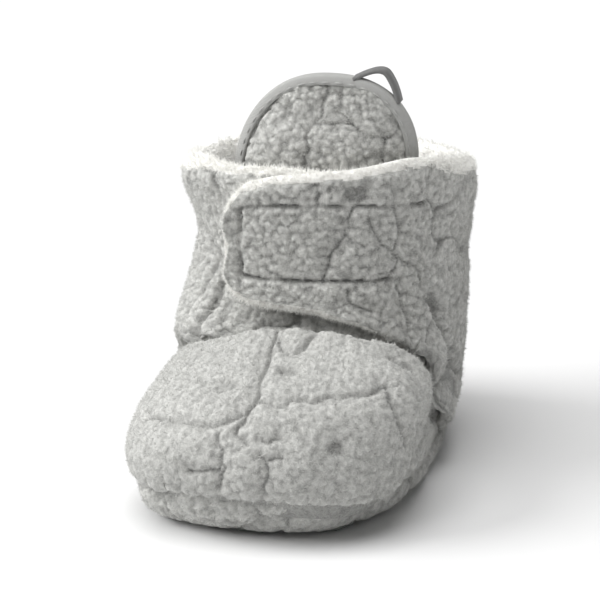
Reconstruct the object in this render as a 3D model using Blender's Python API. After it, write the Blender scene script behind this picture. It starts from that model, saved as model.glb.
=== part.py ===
"""Soft baby bootie slipper: fleece wrap over a puffy vamp, closed by a flap across the tongue.

Sizes are in millimetres and become metres when a mesh is made. The toe points to -Y, the heel to +Y,
the wearer's left to +X, and the floor is z = 0. Angles run round the foot from the toe by way of +X.
"""

from typing import NamedTuple

import bmesh
import bpy
import numpy as np

MM = 0.001

# Driving sizes
WALL = 3.6              # fleece, padding and pile lining of the upper
VAMP_FEATHER = 12.0     # the vamp thins out over this length to its hidden rear edge
GAP = 0.3               # clearance between neighbouring pieces
GRIP_HEIGHT = 1.0       # moulded grip pads under the sole
GRIP_ACROSS_FLATS = 11.6
GRIP_BEVEL = 0.4
SOLE_BOTTOM = GRIP_HEIGHT + GAP
SEAM_HEIGHT = 7.5       # where upper and sole are sewn together
SOLE_TOP = SEAM_HEIGHT - GAP
INSOLE_INSET = 6.0
INSOLE_THICK = 3.0
TOE_SPRING = 3.0        # lift of the sole's tip above the floor
SPRING_START_Y = -50.0  # the tip starts to lift in front of this line
SPRING_END_Y = -65.0
SPRING_FADE_HEIGHT = 40.0
TOE_SWING = -3.0        # how far the toe swings to the outer side
TAPE_THICK = 1.1        # hook tape behind the flap
LAYER_STEP = WALL + TAPE_THICK + 2 * GAP   # from the flap's face in to the wing below it
TUCK_LOW = 34.0         # the outer side's wing starts to slip under the flap at this height
TUCK_HIGH = 45.0
TUCK_FROM = 258.0       # and between these angles
TUCK_TO = 322.0
WING_TAIL_SHARE = 0.3   # share of the wall left at the hidden end of the wing
TONGUE_HALF_THICK = 1.8
TONGUE_RIM = 1.0        # half thickness of the tongue's edge inside its binding
TONGUE_BOTTOM = 51.5
TONGUE_WIDENS = 72.0    # from here up to the shoulder it widens
TONGUE_SHOULDER = 84.0  # the rounded top starts here
TONGUE_TOP = 111.5
TONGUE_LOW_HALF_WIDTH = 22.0
TONGUE_HALF_WIDTH = 24.5
TONGUE_ROUND = 2.3
TONGUE_SHIFT = 3.5      # the tongue sits off the middle, towards the flap's root
TONGUE_LEAN = 4.0       # and its top leans further to that side
TONGUE_CENTRE_Z = 78.0  # its padding thins out from here to the edge
BINDING_WIDTH = 3.2
BINDING_THICK = 0.7
BINDING_HALF = TONGUE_RIM + GAP + BINDING_THICK
TONGUE_PLAY = 1.8       # free space between the wing and the tongue
TONGUE_SHRINK = LAYER_STEP + WALL + TONGUE_PLAY + BINDING_HALF   # flap's face to tongue's middle
TONGUE_SIDE_SHRINK = 9.5
LOOP_THICK = 1.0
LOOP_WIDTH = 4.5
LABEL_THICK = 0.8
LABEL_HALF_ANGLE = 9.0
LABEL_LEVELS = (5.95, 6.6)


class Ring(NamedTuple):
    """One girth ring round the foot, seen in plan as a superellipse from toe to heel."""

    front_y: float
    front_z: float
    back_y: float
    back_z: float
    half_width: float
    shift_x: float     # how far the ring sits to one side
    taper: float       # share by which the ring widens towards the heel
    waist: float       # share by which the middle of the foot is drawn in
    squareness: float  # 2 is an ellipse, more is boxier
    side_dip: float    # how far the ring hangs down between toe and heel


class Edge(NamedTuple):
    """A point of an edge line: angle round the foot, and level counted in rings."""

    angle: float
    level: float


class Profile(NamedTuple):
    """A point of the sole's edge in section."""

    inset: float
    height: float


class Bend(NamedTuple):
    """A point of the pull loop: place across the tongue, and height."""

    across: float
    height: float


class Step(NamedTuple):
    """A ring of the tongue: its share of the full outline, and half its thickness."""

    share: float
    half: float


class Finish(NamedTuple):
    """Colour and roughness of a material."""

    colour: tuple
    roughness: float


# Outer face of the vamp, from the sole seam over the toe to the throat
VAMP_RINGS = (
    Ring(-58.5, SEAM_HEIGHT, 61.0, SEAM_HEIGHT, 34.5, 0.0, -0.11, 0.03, 2.5, 0.0),
    Ring(-64.2, 16.0, 63.0, 14.5, 37.2, 0.0, -0.16, 0.05, 2.5, 0.0),
    Ring(-64.0, 26.0, 62.0, 24.0, 36.2, 0.0, -0.14, 0.09, 2.45, 0.5),
    Ring(-57.0, 36.0, 61.0, 33.0, 34.6, 0.0, 0.00, 0.08, 2.3, 3.0),
    Ring(-42.5, 41.0, 60.0, 38.0, 33.0, 0.0, 0.12, 0.08, 2.25, 3.5),
    Ring(-25.0, 41.0, 58.0, 42.0, 31.5, 0.0, 0.20, 0.08, 2.2, 2.5),
    Ring(-13.5, 43.0, 56.0, 46.0, 28.0, 0.0, 0.15, 0.0, 2.3, 1.0),
    Ring(-8.0, 50.0, 54.0, 52.0, 24.0, 0.0, 0.00, 0.0, 2.3, 0.0),
)

# Outer face of the wrap, from the sole seam to the collar and on up beside the tongue
WRAP_RINGS = (
    Ring(-58.5, SEAM_HEIGHT, 62.0, SEAM_HEIGHT, 36.0, 0.0, -0.06, 0.03, 2.5, 0.0),
    Ring(-61.0, 16.0, 65.0, 16.0, 39.6, 0.6, -0.08, 0.05, 2.5, 0.0),
    Ring(-50.0, 26.0, 65.5, 26.0, 39.2, 0.6, -0.05, 0.10, 2.5, 0.0),
    Ring(-29.0, 36.0, 64.5, 36.0, 39.2, 0.0, -0.02, 0.05, 2.45, 0.0),
    Ring(-20.5, 46.0, 63.0, 46.0, 38.4, 0.0, 0.00, 0.0, 2.4, 0.0),
    Ring(-17.0, 58.0, 61.0, 56.0, 38.0, 0.3, 0.00, 0.0, 2.4, 0.0),
    Ring(-16.0, 73.0, 60.5, 67.0, 38.8, 0.0, 0.00, 0.0, 2.4, 1.5),
    Ring(-16.5, 91.0, 61.5, 80.0, 40.6, -0.4, 0.00, 0.0, 2.4, 4.5),
    Ring(-12.0, 116.0, 66.0, 106.0, 47.0, 0.0, 0.00, 0.0, 2.3, 4.5),
)
WAIST_AT = -0.15        # place of the rings' waist between toe -1 and heel 1
WAIST_SPAN = 0.4
COLLAR = 7.0            # level of the wrap's top edge

# Lower front edge of the wings over the vamp, the same on both sides
WING_EDGE = (
    Edge(0.0, 3.7),
    Edge(30.0, 3.55),
    Edge(52.0, 3.05),
    Edge(66.0, 2.7),
    Edge(78.0, 2.15),
    Edge(90.0, 1.2),
    Edge(100.0, 0.0),
)
# Rear edge of the vamp, hidden under the wings
VAMP_REAR = (
    Edge(0.0, 6.95),
    Edge(28.0, 6.6),
    Edge(50.0, 5.3),
    Edge(72.0, 4.0),
    Edge(95.0, 3.0),
    Edge(125.0, 1.2),
)
FLAP_ROOT = 54.0        # angle where the flap leaves the wrap on the inner side
FLAP_END = -30.0        # angle of the flap's free end on the outer side
FLAP_END_LEVEL = 5.4    # at this level
FLAP_CORNER = 14.0      # its corners are rounded over this angle
FLAP_CORNER_CUT = 0.55  # and over this part of a level
FLAP_LOWER = (
    Edge(FLAP_END, 4.45),
    Edge(-16.0, 4.35),
    Edge(5.0, 4.15),
    Edge(30.0, 3.7),
    Edge(FLAP_ROOT, 3.1),
)
FLAP_UPPER = (
    Edge(FLAP_END, 6.45),
    Edge(-16.0, 6.65),
    Edge(5.0, 6.85),
    Edge(30.0, 6.97),
    Edge(FLAP_ROOT, COLLAR),
)
WING_END = 36.0         # angle where the outer side's wing ends under the flap
TAPE_ANGLES = (-22.0, 29.0)
TAPE_LEVELS = (4.7, 6.25)

SOLE_PROFILE = (
    Profile(11.0, SOLE_BOTTOM),
    Profile(7.0, SOLE_BOTTOM),
    Profile(3.6, SOLE_BOTTOM + 0.1),
    Profile(1.2, 2.5),
    Profile(0.0, 4.6),
    Profile(0.4, SOLE_TOP),
    Profile(INSOLE_INSET, SOLE_TOP),
    Profile(11.0, SOLE_TOP),
)

OUTER_GRIP_X = 17.8
OUTER_GRIP_Y = (-38.5, -18.5, 1.5, 21.5, 41.5)
MIDDLE_GRIP_Y = (-44.5, -21.6, 1.3, 24.2, 47.1)

# Middle line of the pull loop
LOOP_PATH = (
    Bend(6.0, 112.0),
    Bend(10.0, 112.7),
    Bend(14.0, 111.8),
    Bend(17.2, 109.4),
    Bend(19.2, 106.6),
    Bend(20.0, 103.9),
)
# The tongue's padding from its rim to its middle
TONGUE_STEPS = (
    Step(1.0, TONGUE_RIM),
    Step(0.9, TONGUE_RIM),
    Step(0.85, TONGUE_HALF_THICK),
    Step(0.5, TONGUE_HALF_THICK),
)

FINISHES = {
    "fleece": Finish((0.52, 0.52, 0.50), 0.95),
    "tape": Finish((0.40, 0.40, 0.39), 0.8),
    "plush": Finish((0.86, 0.84, 0.79), 0.95),
    "hook": Finish((0.30, 0.30, 0.30), 0.7),
    "grip": Finish((0.25, 0.27, 0.25), 0.45),
    "label": Finish((0.80, 0.77, 0.69), 0.75),
}


def smooth(knots, values, at):
    """Cubic curve through the values at the knots."""
    knots = np.asarray(knots, float)
    values = np.asarray(values, float)
    slopes = np.gradient(values, knots, axis=0)
    at = np.clip(at, knots[0], knots[-1])
    i = np.clip(np.searchsorted(knots, at, side="right") - 1, 0, len(knots) - 2)
    width = knots[i + 1] - knots[i]
    f = (at - knots[i]) / width
    if values.ndim > 1:
        f = f[..., None]
        width = width[..., None]
    rise = f * f * (3 - 2 * f)
    start = f * (1 - f) ** 2 * width
    stop = f * f * (f - 1) * width
    return values[i] * (1 - rise) + values[i + 1] * rise + slopes[i] * start + slopes[i + 1] * stop


def ease(x, low, high):
    """Soft step from 0 at low to 1 at high."""
    f = np.clip((x - low) / (high - low), 0.0, 1.0)
    return f * f * (3 - 2 * f)


def sprung(points):
    """Lift the tip of the toe off the floor and swing the toe to the outer side."""
    y = points[..., 1]
    z = points[..., 2]
    fade = np.clip(1 - z / SPRING_FADE_HEIGHT, 0.0, 1.0)
    bent = points.copy()
    bent[..., 0] += TOE_SWING * ease(-y, 5.0, -SPRING_END_Y)
    bent[..., 2] += TOE_SPRING * ease(-y, -SPRING_START_Y, -SPRING_END_Y) * fade
    return bent


def ring_at(rings, level):
    """Ring at a level between the table's rings."""
    row = smooth(np.arange(len(rings)), rings, np.asarray(level, float))
    return Ring(*np.moveaxis(row, -1, 0))


def ring_point(rings, angle, level):
    """Point of the surface through the rings."""
    angle, level = np.broadcast_arrays(np.asarray(angle, float), np.asarray(level, float))
    ring = ring_at(rings, level)
    c = np.cos(np.radians(angle))
    s = np.sin(np.radians(angle))
    along = -np.sign(c) * np.abs(c) ** (2 / ring.squareness)
    across = np.sign(s) * np.abs(s) ** (2 / ring.squareness)
    drawn = 1 - ring.waist * np.exp(-((along - WAIST_AT) / WAIST_SPAN) ** 2)
    x = ring.shift_x + ring.half_width * across * (1 + ring.taper * along) * drawn
    y = (ring.front_y + ring.back_y) / 2 + (ring.back_y - ring.front_y) / 2 * along
    z = ring.front_z + (ring.back_z - ring.front_z) * (along + 1) / 2 - ring.side_dip * (1 - along * along)
    return sprung(np.stack([x, y, z], axis=-1))


def ring_normal(rings, angle, level):
    """Outward direction of the surface through the rings."""
    top = len(rings) - 1
    level = np.clip(level, 0.0, top)
    turn = ring_point(rings, angle + 1.0, level) - ring_point(rings, angle - 1.0, level)
    high = np.minimum(level + 0.05, top)
    low = np.maximum(level - 0.05, 0.0)
    climb = ring_point(rings, angle, high) - ring_point(rings, angle, low)
    normal = np.cross(turn, climb)
    return normal / np.linalg.norm(normal, axis=-1, keepdims=True)


def ring_layer(rings, angle, level, depth):
    """Point at a depth below the surface through the rings."""
    angle, level = np.broadcast_arrays(np.asarray(angle, float), np.asarray(level, float))
    depth = np.broadcast_to(depth, angle.shape)
    return ring_point(rings, angle, level) - ring_normal(rings, angle, level) * depth[..., None]


def edge_level(edges, angle):
    """Level of an edge line at an angle."""
    return smooth([e.angle for e in edges], [e.level for e in edges], angle)


def rounding(distance, radius):
    """Share of the full thickness left at a distance from a rounded edge."""
    f = np.clip(1 - distance / radius, 0.0, 1.0)
    return np.sqrt(1 - f * f)


def rim_steps(count, rim):
    """Shares from 0 to 1 with extra rows for a rounded rim at both ends."""
    turn = np.radians([0.0, 35.0, 65.0])
    start = rim * (1 - np.cos(turn))
    return np.concatenate([start, np.linspace(rim, 1 - rim, count), 1 - start[::-1]])


def material(name):
    """Plain material of a named finish."""
    finish = FINISHES[name]
    made = bpy.data.materials.new(name)
    made.use_nodes = True
    shader = made.node_tree.nodes["Principled BSDF"]
    shader.inputs["Base Color"].default_value = (*finish.colour, 1.0)
    shader.inputs["Roughness"].default_value = finish.roughness
    shader.inputs["Metallic"].default_value = 0.0
    made.diffuse_color = (*finish.colour, 1.0)
    return made


def make_object(name, finish, points, faces):
    """Closed mesh object from points in millimetres."""
    mesh = bpy.data.meshes.new(name)
    mesh.from_pydata([tuple(p) for p in np.asarray(points) * MM], [], faces)
    work = bmesh.new()
    work.from_mesh(mesh)
    bmesh.ops.remove_doubles(work, verts=work.verts, dist=1e-6)
    bmesh.ops.dissolve_degenerate(work, edges=work.edges, dist=1e-7)
    bmesh.ops.triangulate(work, faces=work.faces)
    bmesh.ops.recalc_face_normals(work, faces=work.faces)
    if work.calc_volume(signed=True) < 0:
        bmesh.ops.reverse_faces(work, faces=work.faces)
    work.to_mesh(mesh)
    work.free()
    made = bpy.data.objects.new(name, mesh)
    bpy.context.scene.collection.objects.link(made)
    mesh.materials.append(material(finish))
    return made


def slab(name, finish, outer, inner):
    """Solid between two grids of points, closed along all four edges."""
    rows, columns = outer.shape[:2]
    points = np.concatenate([outer.reshape(-1, 3), inner.reshape(-1, 3)])
    back = rows * columns
    faces = []
    for i in range(rows - 1):
        for j in range(columns - 1):
            a = i * columns + j
            b = a + columns
            faces.append((a, a + 1, b + 1, b))
            faces.append((back + a, back + b, back + b + 1, back + a + 1))
    border = [j for j in range(columns)]
    border += [i * columns + columns - 1 for i in range(1, rows)]
    border += [(rows - 1) * columns + j for j in range(columns - 2, -1, -1)]
    border += [i * columns for i in range(rows - 2, 0, -1)]
    for a, b in zip(border, border[1:] + border[:1]):
        faces.append((b, a, back + a, back + b))
    return make_object(name, finish, points, faces)


def spread(points, count):
    """Shares of a polyline's points that cut it into equal lengths."""
    run = np.concatenate([[0.0], np.cumsum(np.linalg.norm(np.diff(points, axis=0), axis=1))])
    return np.interp(np.linspace(0.0, run[-1], count), run, np.arange(len(points)))


def wing_tuck(angle, level):
    """Depth by which the outer side's wing slips in under the flap."""
    height = ring_point(WRAP_RINGS, angle, level)[..., 2]
    return LAYER_STEP * ease(angle, TUCK_FROM, TUCK_TO) * ease(height, TUCK_LOW, TUCK_HIGH)


def quarter_edge(angle):
    """Level of the wrap's lower edge, on the sole seam or over the vamp."""
    turn = np.abs(np.where(angle > 180.0, angle - 360.0, angle))
    return np.where(turn < WING_EDGE[-1].angle, edge_level(WING_EDGE, turn), 0.0)


def build_wrap():
    """Quarters, heel and outer wing in one strip from the flap's root round the heel to the wing's end."""
    track = np.linspace(FLAP_ROOT, 360.0 + WING_END, 400)
    lower = ring_point(WRAP_RINGS, track, quarter_edge(track))
    upper = ring_point(WRAP_RINGS, track, np.full(400, COLLAR))
    columns = 58
    low_angle = np.interp(spread(lower, columns), np.arange(400), track)
    high_angle = np.interp(spread(upper, columns), np.arange(400), track)
    share = rim_steps(13, 0.035)[:, None]
    angle = low_angle * (1 - share) + high_angle * share
    level = quarter_edge(low_angle) * (1 - share) + COLLAR * share
    on_seam = ease(np.abs(low_angle - 180.0), 86.0, 78.0)
    span = 1 - share
    face = ring_point(WRAP_RINGS, angle, level)
    height = np.linalg.norm(face[-1] - face[0], axis=-1)
    thick = rounding(span * height, WALL / 2)
    thick = thick * (on_seam + (1 - on_seam) * rounding(share * height, WALL / 2))
    tail = np.linspace(columns - 1, 0, columns) * 3.0
    thick = thick * np.maximum(rounding(tail, WALL / 2), WING_TAIL_SHARE)
    tuck = wing_tuck(angle, level)
    outer = ring_layer(WRAP_RINGS, angle, level, tuck + WALL / 2 * (1 - thick))
    inner = ring_layer(WRAP_RINGS, angle, level, tuck + WALL / 2 * (1 + thick))
    return slab("upper", "fleece", outer, inner)


def build_vamp():
    """Puffy toe piece from the sole seam to the throat, joined into the upper."""
    columns = np.linspace(-125.0, 125.0, 39)
    share = rim_steps(13, 0.03)[3:][:, None]
    share = (share - share[0]) / (1 - share[0])
    level = share * edge_level(VAMP_REAR, np.abs(columns))
    angle = np.broadcast_to(columns, level.shape)
    reach = ring_point(VAMP_RINGS, angle, level)
    length = np.linalg.norm(np.diff(reach, axis=0), axis=-1).sum(axis=0)
    thick = 0.2 + 0.8 * ease((1 - share) * length, 0.0, VAMP_FEATHER)
    outer = ring_layer(VAMP_RINGS, angle, level, 0.0)
    inner = ring_layer(VAMP_RINGS, angle, level, WALL * thick)
    return slab("vamp", "fleece", outer, inner)


def join(target, helper):
    """Unite the helper into the target and drop the helper."""
    helper.hide_render = True
    helper.display_type = "WIRE"
    union = target.modifiers.new("join", "BOOLEAN")
    union.operation = "UNION"
    union.solver = "EXACT"
    union.object = helper
    graph = bpy.context.evaluated_depsgraph_get()
    merged = bpy.data.meshes.new_from_object(target.evaluated_get(graph))
    target.modifiers.clear()
    target.data = merged
    bpy.data.objects.remove(helper)
    work = bmesh.new()
    work.from_mesh(merged)
    bmesh.ops.triangulate(work, faces=work.faces)
    bmesh.ops.remove_doubles(work, verts=work.verts, dist=2e-5)
    bmesh.ops.dissolve_degenerate(work, edges=work.edges, dist=1e-6)
    bmesh.ops.triangulate(work, faces=work.faces)
    work.to_mesh(merged)
    work.free()


def flap_angle(angle, level):
    """Angles of the flap's columns, turned so that the free end stands upright."""
    ring = ring_at(WRAP_RINGS, level)
    upright = ring_at(WRAP_RINGS, np.array([FLAP_END_LEVEL]))
    across = np.sin(np.radians(-FLAP_END)) ** (2 / upright.squareness)
    share = across * upright.half_width / ring.half_width
    turned = -np.degrees(np.arcsin(share ** (ring.squareness / 2)))
    return angle + (turned - FLAP_END) * ease(angle, 25.0, FLAP_END)


def build_flap():
    """Closing flap from its root on the inner side across to its rounded free end."""
    bend = np.radians(np.linspace(0.0, 90.0, 6))
    free = FLAP_END + FLAP_CORNER * (1 - np.sin(bend[::-1]))
    plain = np.linspace(FLAP_END + FLAP_CORNER, FLAP_ROOT - 0.5, 17)[1:]
    angle = np.concatenate([free, plain])
    cut = np.concatenate([1 - np.cos(bend[::-1]), np.zeros(len(plain))]) * FLAP_CORNER_CUT
    share = rim_steps(7, 0.05)[:, None]
    low = edge_level(FLAP_LOWER, angle) + cut
    high = edge_level(FLAP_UPPER, angle) - cut
    level = low * (1 - share) + high * share
    angle = flap_angle(np.broadcast_to(angle, level.shape), level)
    middle = ring_point(WRAP_RINGS, angle, level)
    height = np.linalg.norm(middle[-1] - middle[0], axis=-1)
    along = np.linalg.norm(middle - middle[:, :1], axis=-1)
    thick = rounding(np.minimum(share, 1 - share) * height, WALL / 2) * rounding(along, WALL / 2)
    outer = ring_layer(WRAP_RINGS, angle, level, WALL / 2 * (1 - thick))
    inner = ring_layer(WRAP_RINGS, angle, level, WALL / 2 * (1 + thick))
    return slab("closure_flap", "fleece", outer, inner)


def build_hook_tape():
    """Hook tape behind the flap, inside the box of stitches."""
    level = np.linspace(*TAPE_LEVELS, 6)[:, None]
    angle = np.broadcast_to(np.linspace(*TAPE_ANGLES, 15), (6, 15))
    outer = ring_layer(WRAP_RINGS, angle, level, WALL + GAP)
    inner = ring_layer(WRAP_RINGS, angle, level, WALL + GAP + TAPE_THICK)
    return slab("hook_tape", "hook", outer, inner)


def tongue_shift(z):
    """How far the tongue stands off the middle at a height."""
    return TONGUE_SHIFT + TONGUE_LEAN * ease(z, TONGUE_WIDENS, TONGUE_TOP)


def tongue_point(x, z):
    """Point of the tongue's middle face at a place across and a height."""
    front_z = [ring.front_z for ring in WRAP_RINGS]
    level = np.interp(z, front_z, np.arange(len(WRAP_RINGS)))
    ring = ring_at(WRAP_RINGS, level)
    middle = (ring.front_y + ring.back_y) / 2
    half_length = (ring.back_y - ring.front_y) / 2 - TONGUE_SHRINK
    half_width = ring.half_width - TONGUE_SIDE_SHRINK
    across = np.clip(np.abs(x) / half_width, 0.0, 0.999)
    along = (1 - across ** ring.squareness) ** (1 / ring.squareness)
    return np.stack([x + tongue_shift(z), middle - half_length * along, z], axis=-1)


def tongue_normal(x, z):
    """Direction from the tongue's middle face out to the front."""
    turn = tongue_point(x + 0.2, z) - tongue_point(x - 0.2, z)
    climb = tongue_point(x, z + 0.2) - tongue_point(x, z - 0.2)
    normal = np.cross(turn, climb)
    return normal / np.linalg.norm(normal, axis=-1, keepdims=True)


def tongue_edge(count):
    """Free edge of the tongue from its lower -X corner over the top to its lower +X corner."""
    side = np.linspace(TONGUE_BOTTOM, TONGUE_SHOULDER, count)[:-1]
    wide = TONGUE_HALF_WIDTH - TONGUE_LOW_HALF_WIDTH
    side_x = TONGUE_LOW_HALF_WIDTH + wide * ease(side, TONGUE_WIDENS, TONGUE_SHOULDER)
    turn = np.radians(np.linspace(0.0, 180.0, 2 * count + 1))
    c = np.cos(turn)
    power = 2 / TONGUE_ROUND
    top_x = -TONGUE_HALF_WIDTH * np.sign(c) * np.abs(c) ** power
    top_z = TONGUE_SHOULDER + (TONGUE_TOP - TONGUE_SHOULDER) * np.sin(turn) ** power
    x = np.concatenate([-side_x, top_x, side_x[::-1]])
    z = np.concatenate([side, top_z, side[::-1]])
    return np.stack([x, z], axis=-1)


def pushed_in(outline, distance):
    """An outline in the plane moved to its right-hand side by a distance."""
    along = np.gradient(outline, axis=0)
    along /= np.linalg.norm(along, axis=1, keepdims=True)
    inward = np.stack([along[:, 1], -along[:, 0]], axis=-1)
    return outline + inward * distance


def build_tongue():
    """Padded tongue, its rim thinned to slip into the binding."""
    edge = pushed_in(tongue_edge(7), BINDING_THICK + 2 * GAP)
    floor_x = np.linspace(edge[-1, 0], edge[0, 0], 9)[1:-1]
    edge = np.concatenate([edge, np.stack([floor_x, np.full(7, TONGUE_BOTTOM)], axis=-1)])
    centre = np.array([0.0, TONGUE_CENTRE_Z])
    points = []
    for side in (1.0, -1.0):
        for step in TONGUE_STEPS:
            x, z = (centre + (edge - centre) * step.share).T
            points.append(tongue_point(x, z) + tongue_normal(x, z) * step.half * side)
        x, z = centre[:, None]
        points.append(tongue_point(x, z) + tongue_normal(x, z) * TONGUE_HALF_THICK * side)
    count = len(edge)
    last = (len(TONGUE_STEPS) - 1) * count
    block = last + count + 1
    faces = []
    for j in range(count):
        k = (j + 1) % count
        for side in (0, block):
            for a in range(side, side + last, count):
                faces.append((a + j, a + k, a + count + k, a + count + j))
            faces.append((side + last + j, side + last + k, side + block - 1))
        faces.append((j, k, block + k, block + j))
    return make_object("tongue", "fleece", np.concatenate(points), faces)


def sweep(name, finish, section):
    """Solid through a row of equal sections, closed at both ends."""
    stations, corners = section.shape[:2]
    faces = []
    for i in range(stations - 1):
        for j in range(corners):
            k = (j + 1) % corners
            a = i * corners
            faces.append((a + j, a + k, a + corners + k, a + corners + j))
    faces.append(tuple(range(corners))[::-1])
    faces.append(tuple(range((stations - 1) * corners, stations * corners)))
    return make_object(name, finish, section.reshape(-1, 3), faces)


def build_binding():
    """Tape folded round the tongue's free edge."""
    hem = BINDING_WIDTH
    lip = BINDING_THICK
    half = BINDING_HALF
    bare = half - lip
    channel = (
        (hem, half), (0.7, half - 0.1), (0.0, 0.0), (0.7, 0.1 - half), (hem, -half),
        (hem, -bare), (lip + 0.2, -bare), (lip + 0.2, bare), (hem, bare),
    )
    edge = tongue_edge(7)[1:-1]
    section = []
    for inset, rise in channel:
        x, z = pushed_in(edge, inset).T
        section.append(tongue_point(x, z) + tongue_normal(x, z) * rise)
    return sweep("tongue_binding", "tape", np.stack(section, axis=1))


def build_pull_loop():
    """Loop of tape standing on the tongue's upper +X corner."""
    share = np.linspace(0.0, len(LOOP_PATH) - 1, 19)
    path = smooth(np.arange(len(LOOP_PATH)), LOOP_PATH, share)
    middle = tongue_point(path[:, 0], path[:, 1])[:, 1]
    section = []
    for out, deep in ((0.5, -0.5), (0.5, 0.5), (-0.5, 0.5), (-0.5, -0.5)):
        x, z = pushed_in(path, -out * LOOP_THICK).T
        x = x + tongue_shift(path[:, 1])
        section.append(np.stack([x, middle + deep * LOOP_WIDTH, z], axis=-1))
    return sweep("pull_loop", "tape", np.stack(section, axis=1))


def seam_outline(count, inset):
    """Plan outline of the sole seam, moved in by a distance."""
    angle = np.arange(count) * 360.0 / count
    line = ring_point(WRAP_RINGS, angle, np.zeros(count))[:, :2]
    along = np.roll(line, -1, axis=0) - np.roll(line, 1, axis=0)
    along /= np.linalg.norm(along, axis=1, keepdims=True)
    inward = np.stack([-along[:, 1], along[:, 0]], axis=-1)
    return line + inward * inset


def build_disc(name, finish, profile, count):
    """Solid of the sole's outline with an edge of the given profile."""
    points = []
    for inset, height in profile:
        flat = seam_outline(count, inset)
        points.append(sprung(np.column_stack([flat, np.full(count, height)])))
    faces = [tuple(range(count))[::-1]]
    for i in range(len(profile) - 1):
        for j in range(count):
            k = (j + 1) % count
            a = i * count
            faces.append((a + j, a + k, a + count + k, a + count + j))
    faces.append(tuple(range((len(profile) - 1) * count, len(profile) * count)))
    return make_object(name, finish, np.concatenate(points), faces)


def build_sole():
    """Padded sole with a rounded lower edge, and the insole on it."""
    build_disc("outsole", "fleece", SOLE_PROFILE, 56)
    low = SOLE_TOP + GAP
    high = low + INSOLE_THICK
    insole = (
        Profile(11.0, low),
        Profile(INSOLE_INSET, low),
        Profile(INSOLE_INSET, high - 1.0),
        Profile(INSOLE_INSET + 1.0, high),
        Profile(11.0, high),
    )
    build_disc("insole", "plush", insole, 56)


def build_grip(name, x, y):
    """Six-sided grip pad with its flats facing along the foot."""
    angle = np.radians(np.arange(6) * 60.0)
    radius = GRIP_ACROSS_FLATS / np.sqrt(3)
    points = []
    for shrink, height in ((GRIP_BEVEL, 0.0), (0.0, GRIP_BEVEL), (0.0, GRIP_HEIGHT)):
        across = x + (radius - shrink) * np.cos(angle)
        along = y + (radius - shrink) * np.sin(angle)
        points.append(np.column_stack([across, along, np.full(6, height)]))
    faces = [tuple(range(6))[::-1], tuple(range(12, 18))]
    for i in (0, 6):
        for j in range(6):
            k = (j + 1) % 6
            faces.append((i + j, i + k, i + 6 + k, i + 6 + j))
    return make_object(name, "grip", np.concatenate(points), faces)


def build_grips():
    """Grip pads under the sole in three rows."""
    number = 1
    for x, places in ((-OUTER_GRIP_X, OUTER_GRIP_Y), (0.0, MIDDLE_GRIP_Y), (OUTER_GRIP_X, OUTER_GRIP_Y)):
        for y in places:
            swing = sprung(np.array([x, y, 0.0]))[0]
            build_grip(f"grip_pad_{number:02d}", swing, y)
            number += 1


def build_heel_label():
    """Plain sewn label below the collar at the heel."""
    level = np.linspace(*LABEL_LEVELS, 4)[:, None]
    turn = np.linspace(-LABEL_HALF_ANGLE, LABEL_HALF_ANGLE, 7)
    angle = np.broadcast_to(180.0 + turn, (4, 7))
    outer = ring_layer(WRAP_RINGS, angle, level, -GAP - LABEL_THICK)
    inner = ring_layer(WRAP_RINGS, angle, level, -GAP)
    return slab("heel_label", "label", outer, inner)


def centre_on_floor():
    """Move all pieces so that the whole stands with the middle of its box on the origin."""
    made = [item for item in bpy.data.objects if item.type == "MESH"]
    corners = np.array([v.co for item in made for v in item.data.vertices])
    low = corners.min(axis=0)
    high = corners.max(axis=0)
    shift = np.array([(low[0] + high[0]) / 2, (low[1] + high[1]) / 2, low[2]])
    for item in made:
        for vertex in item.data.vertices:
            vertex.co = np.array(vertex.co) - shift


def main():
    """Build every piece."""
    for item in list(bpy.data.objects):
        bpy.data.objects.remove(item)
    join(build_wrap(), build_vamp())
    build_flap()
    build_hook_tape()
    build_tongue()
    build_binding()
    build_pull_loop()
    build_sole()
    build_grips()
    build_heel_label()
    centre_on_floor()


if __name__ == "__main__":
    main()
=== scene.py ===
"""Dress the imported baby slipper: embossed fleece, pile lining, bound tongue, stitches and grip pads.

Sizes are in millimetres in the shoe's own pattern frame: toe to -Y, heel to +Y, inner side of the foot
to +X. Angles run round the foot from the toe by way of +X, and levels count the table's rings from the
sole seam up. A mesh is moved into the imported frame, in metres, when it is made.
"""

import logging
from dataclasses import dataclass
from enum import Enum
from typing import Callable, NamedTuple, Sequence

import bpy
import numpy as np
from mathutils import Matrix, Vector


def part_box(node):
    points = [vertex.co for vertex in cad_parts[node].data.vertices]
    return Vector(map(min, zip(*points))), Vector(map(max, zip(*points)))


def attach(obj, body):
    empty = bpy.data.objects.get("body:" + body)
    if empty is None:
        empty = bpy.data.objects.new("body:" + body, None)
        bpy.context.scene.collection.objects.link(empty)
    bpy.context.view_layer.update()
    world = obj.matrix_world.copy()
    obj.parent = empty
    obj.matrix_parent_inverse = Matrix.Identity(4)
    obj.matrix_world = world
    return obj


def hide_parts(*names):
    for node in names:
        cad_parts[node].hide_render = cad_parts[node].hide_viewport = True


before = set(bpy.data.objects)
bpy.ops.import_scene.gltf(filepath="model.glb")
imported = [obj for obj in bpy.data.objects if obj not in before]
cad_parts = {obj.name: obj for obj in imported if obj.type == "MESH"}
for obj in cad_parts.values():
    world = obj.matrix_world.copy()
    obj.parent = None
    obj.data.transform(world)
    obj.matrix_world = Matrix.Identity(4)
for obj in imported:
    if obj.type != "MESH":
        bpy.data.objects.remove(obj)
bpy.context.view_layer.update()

LOG = logging.getLogger("slipper")
Array = np.ndarray
Colour = tuple[float, float, float]
Reach = tuple[float, float]     # a pair of sizes, mostly where something starts and where it is full
Line = tuple[tuple[float, float], ...]      # points of a drawn line, mostly angles and levels
Piece = bpy.types.Object
NodeTree = bpy.types.NodeTree
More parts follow.
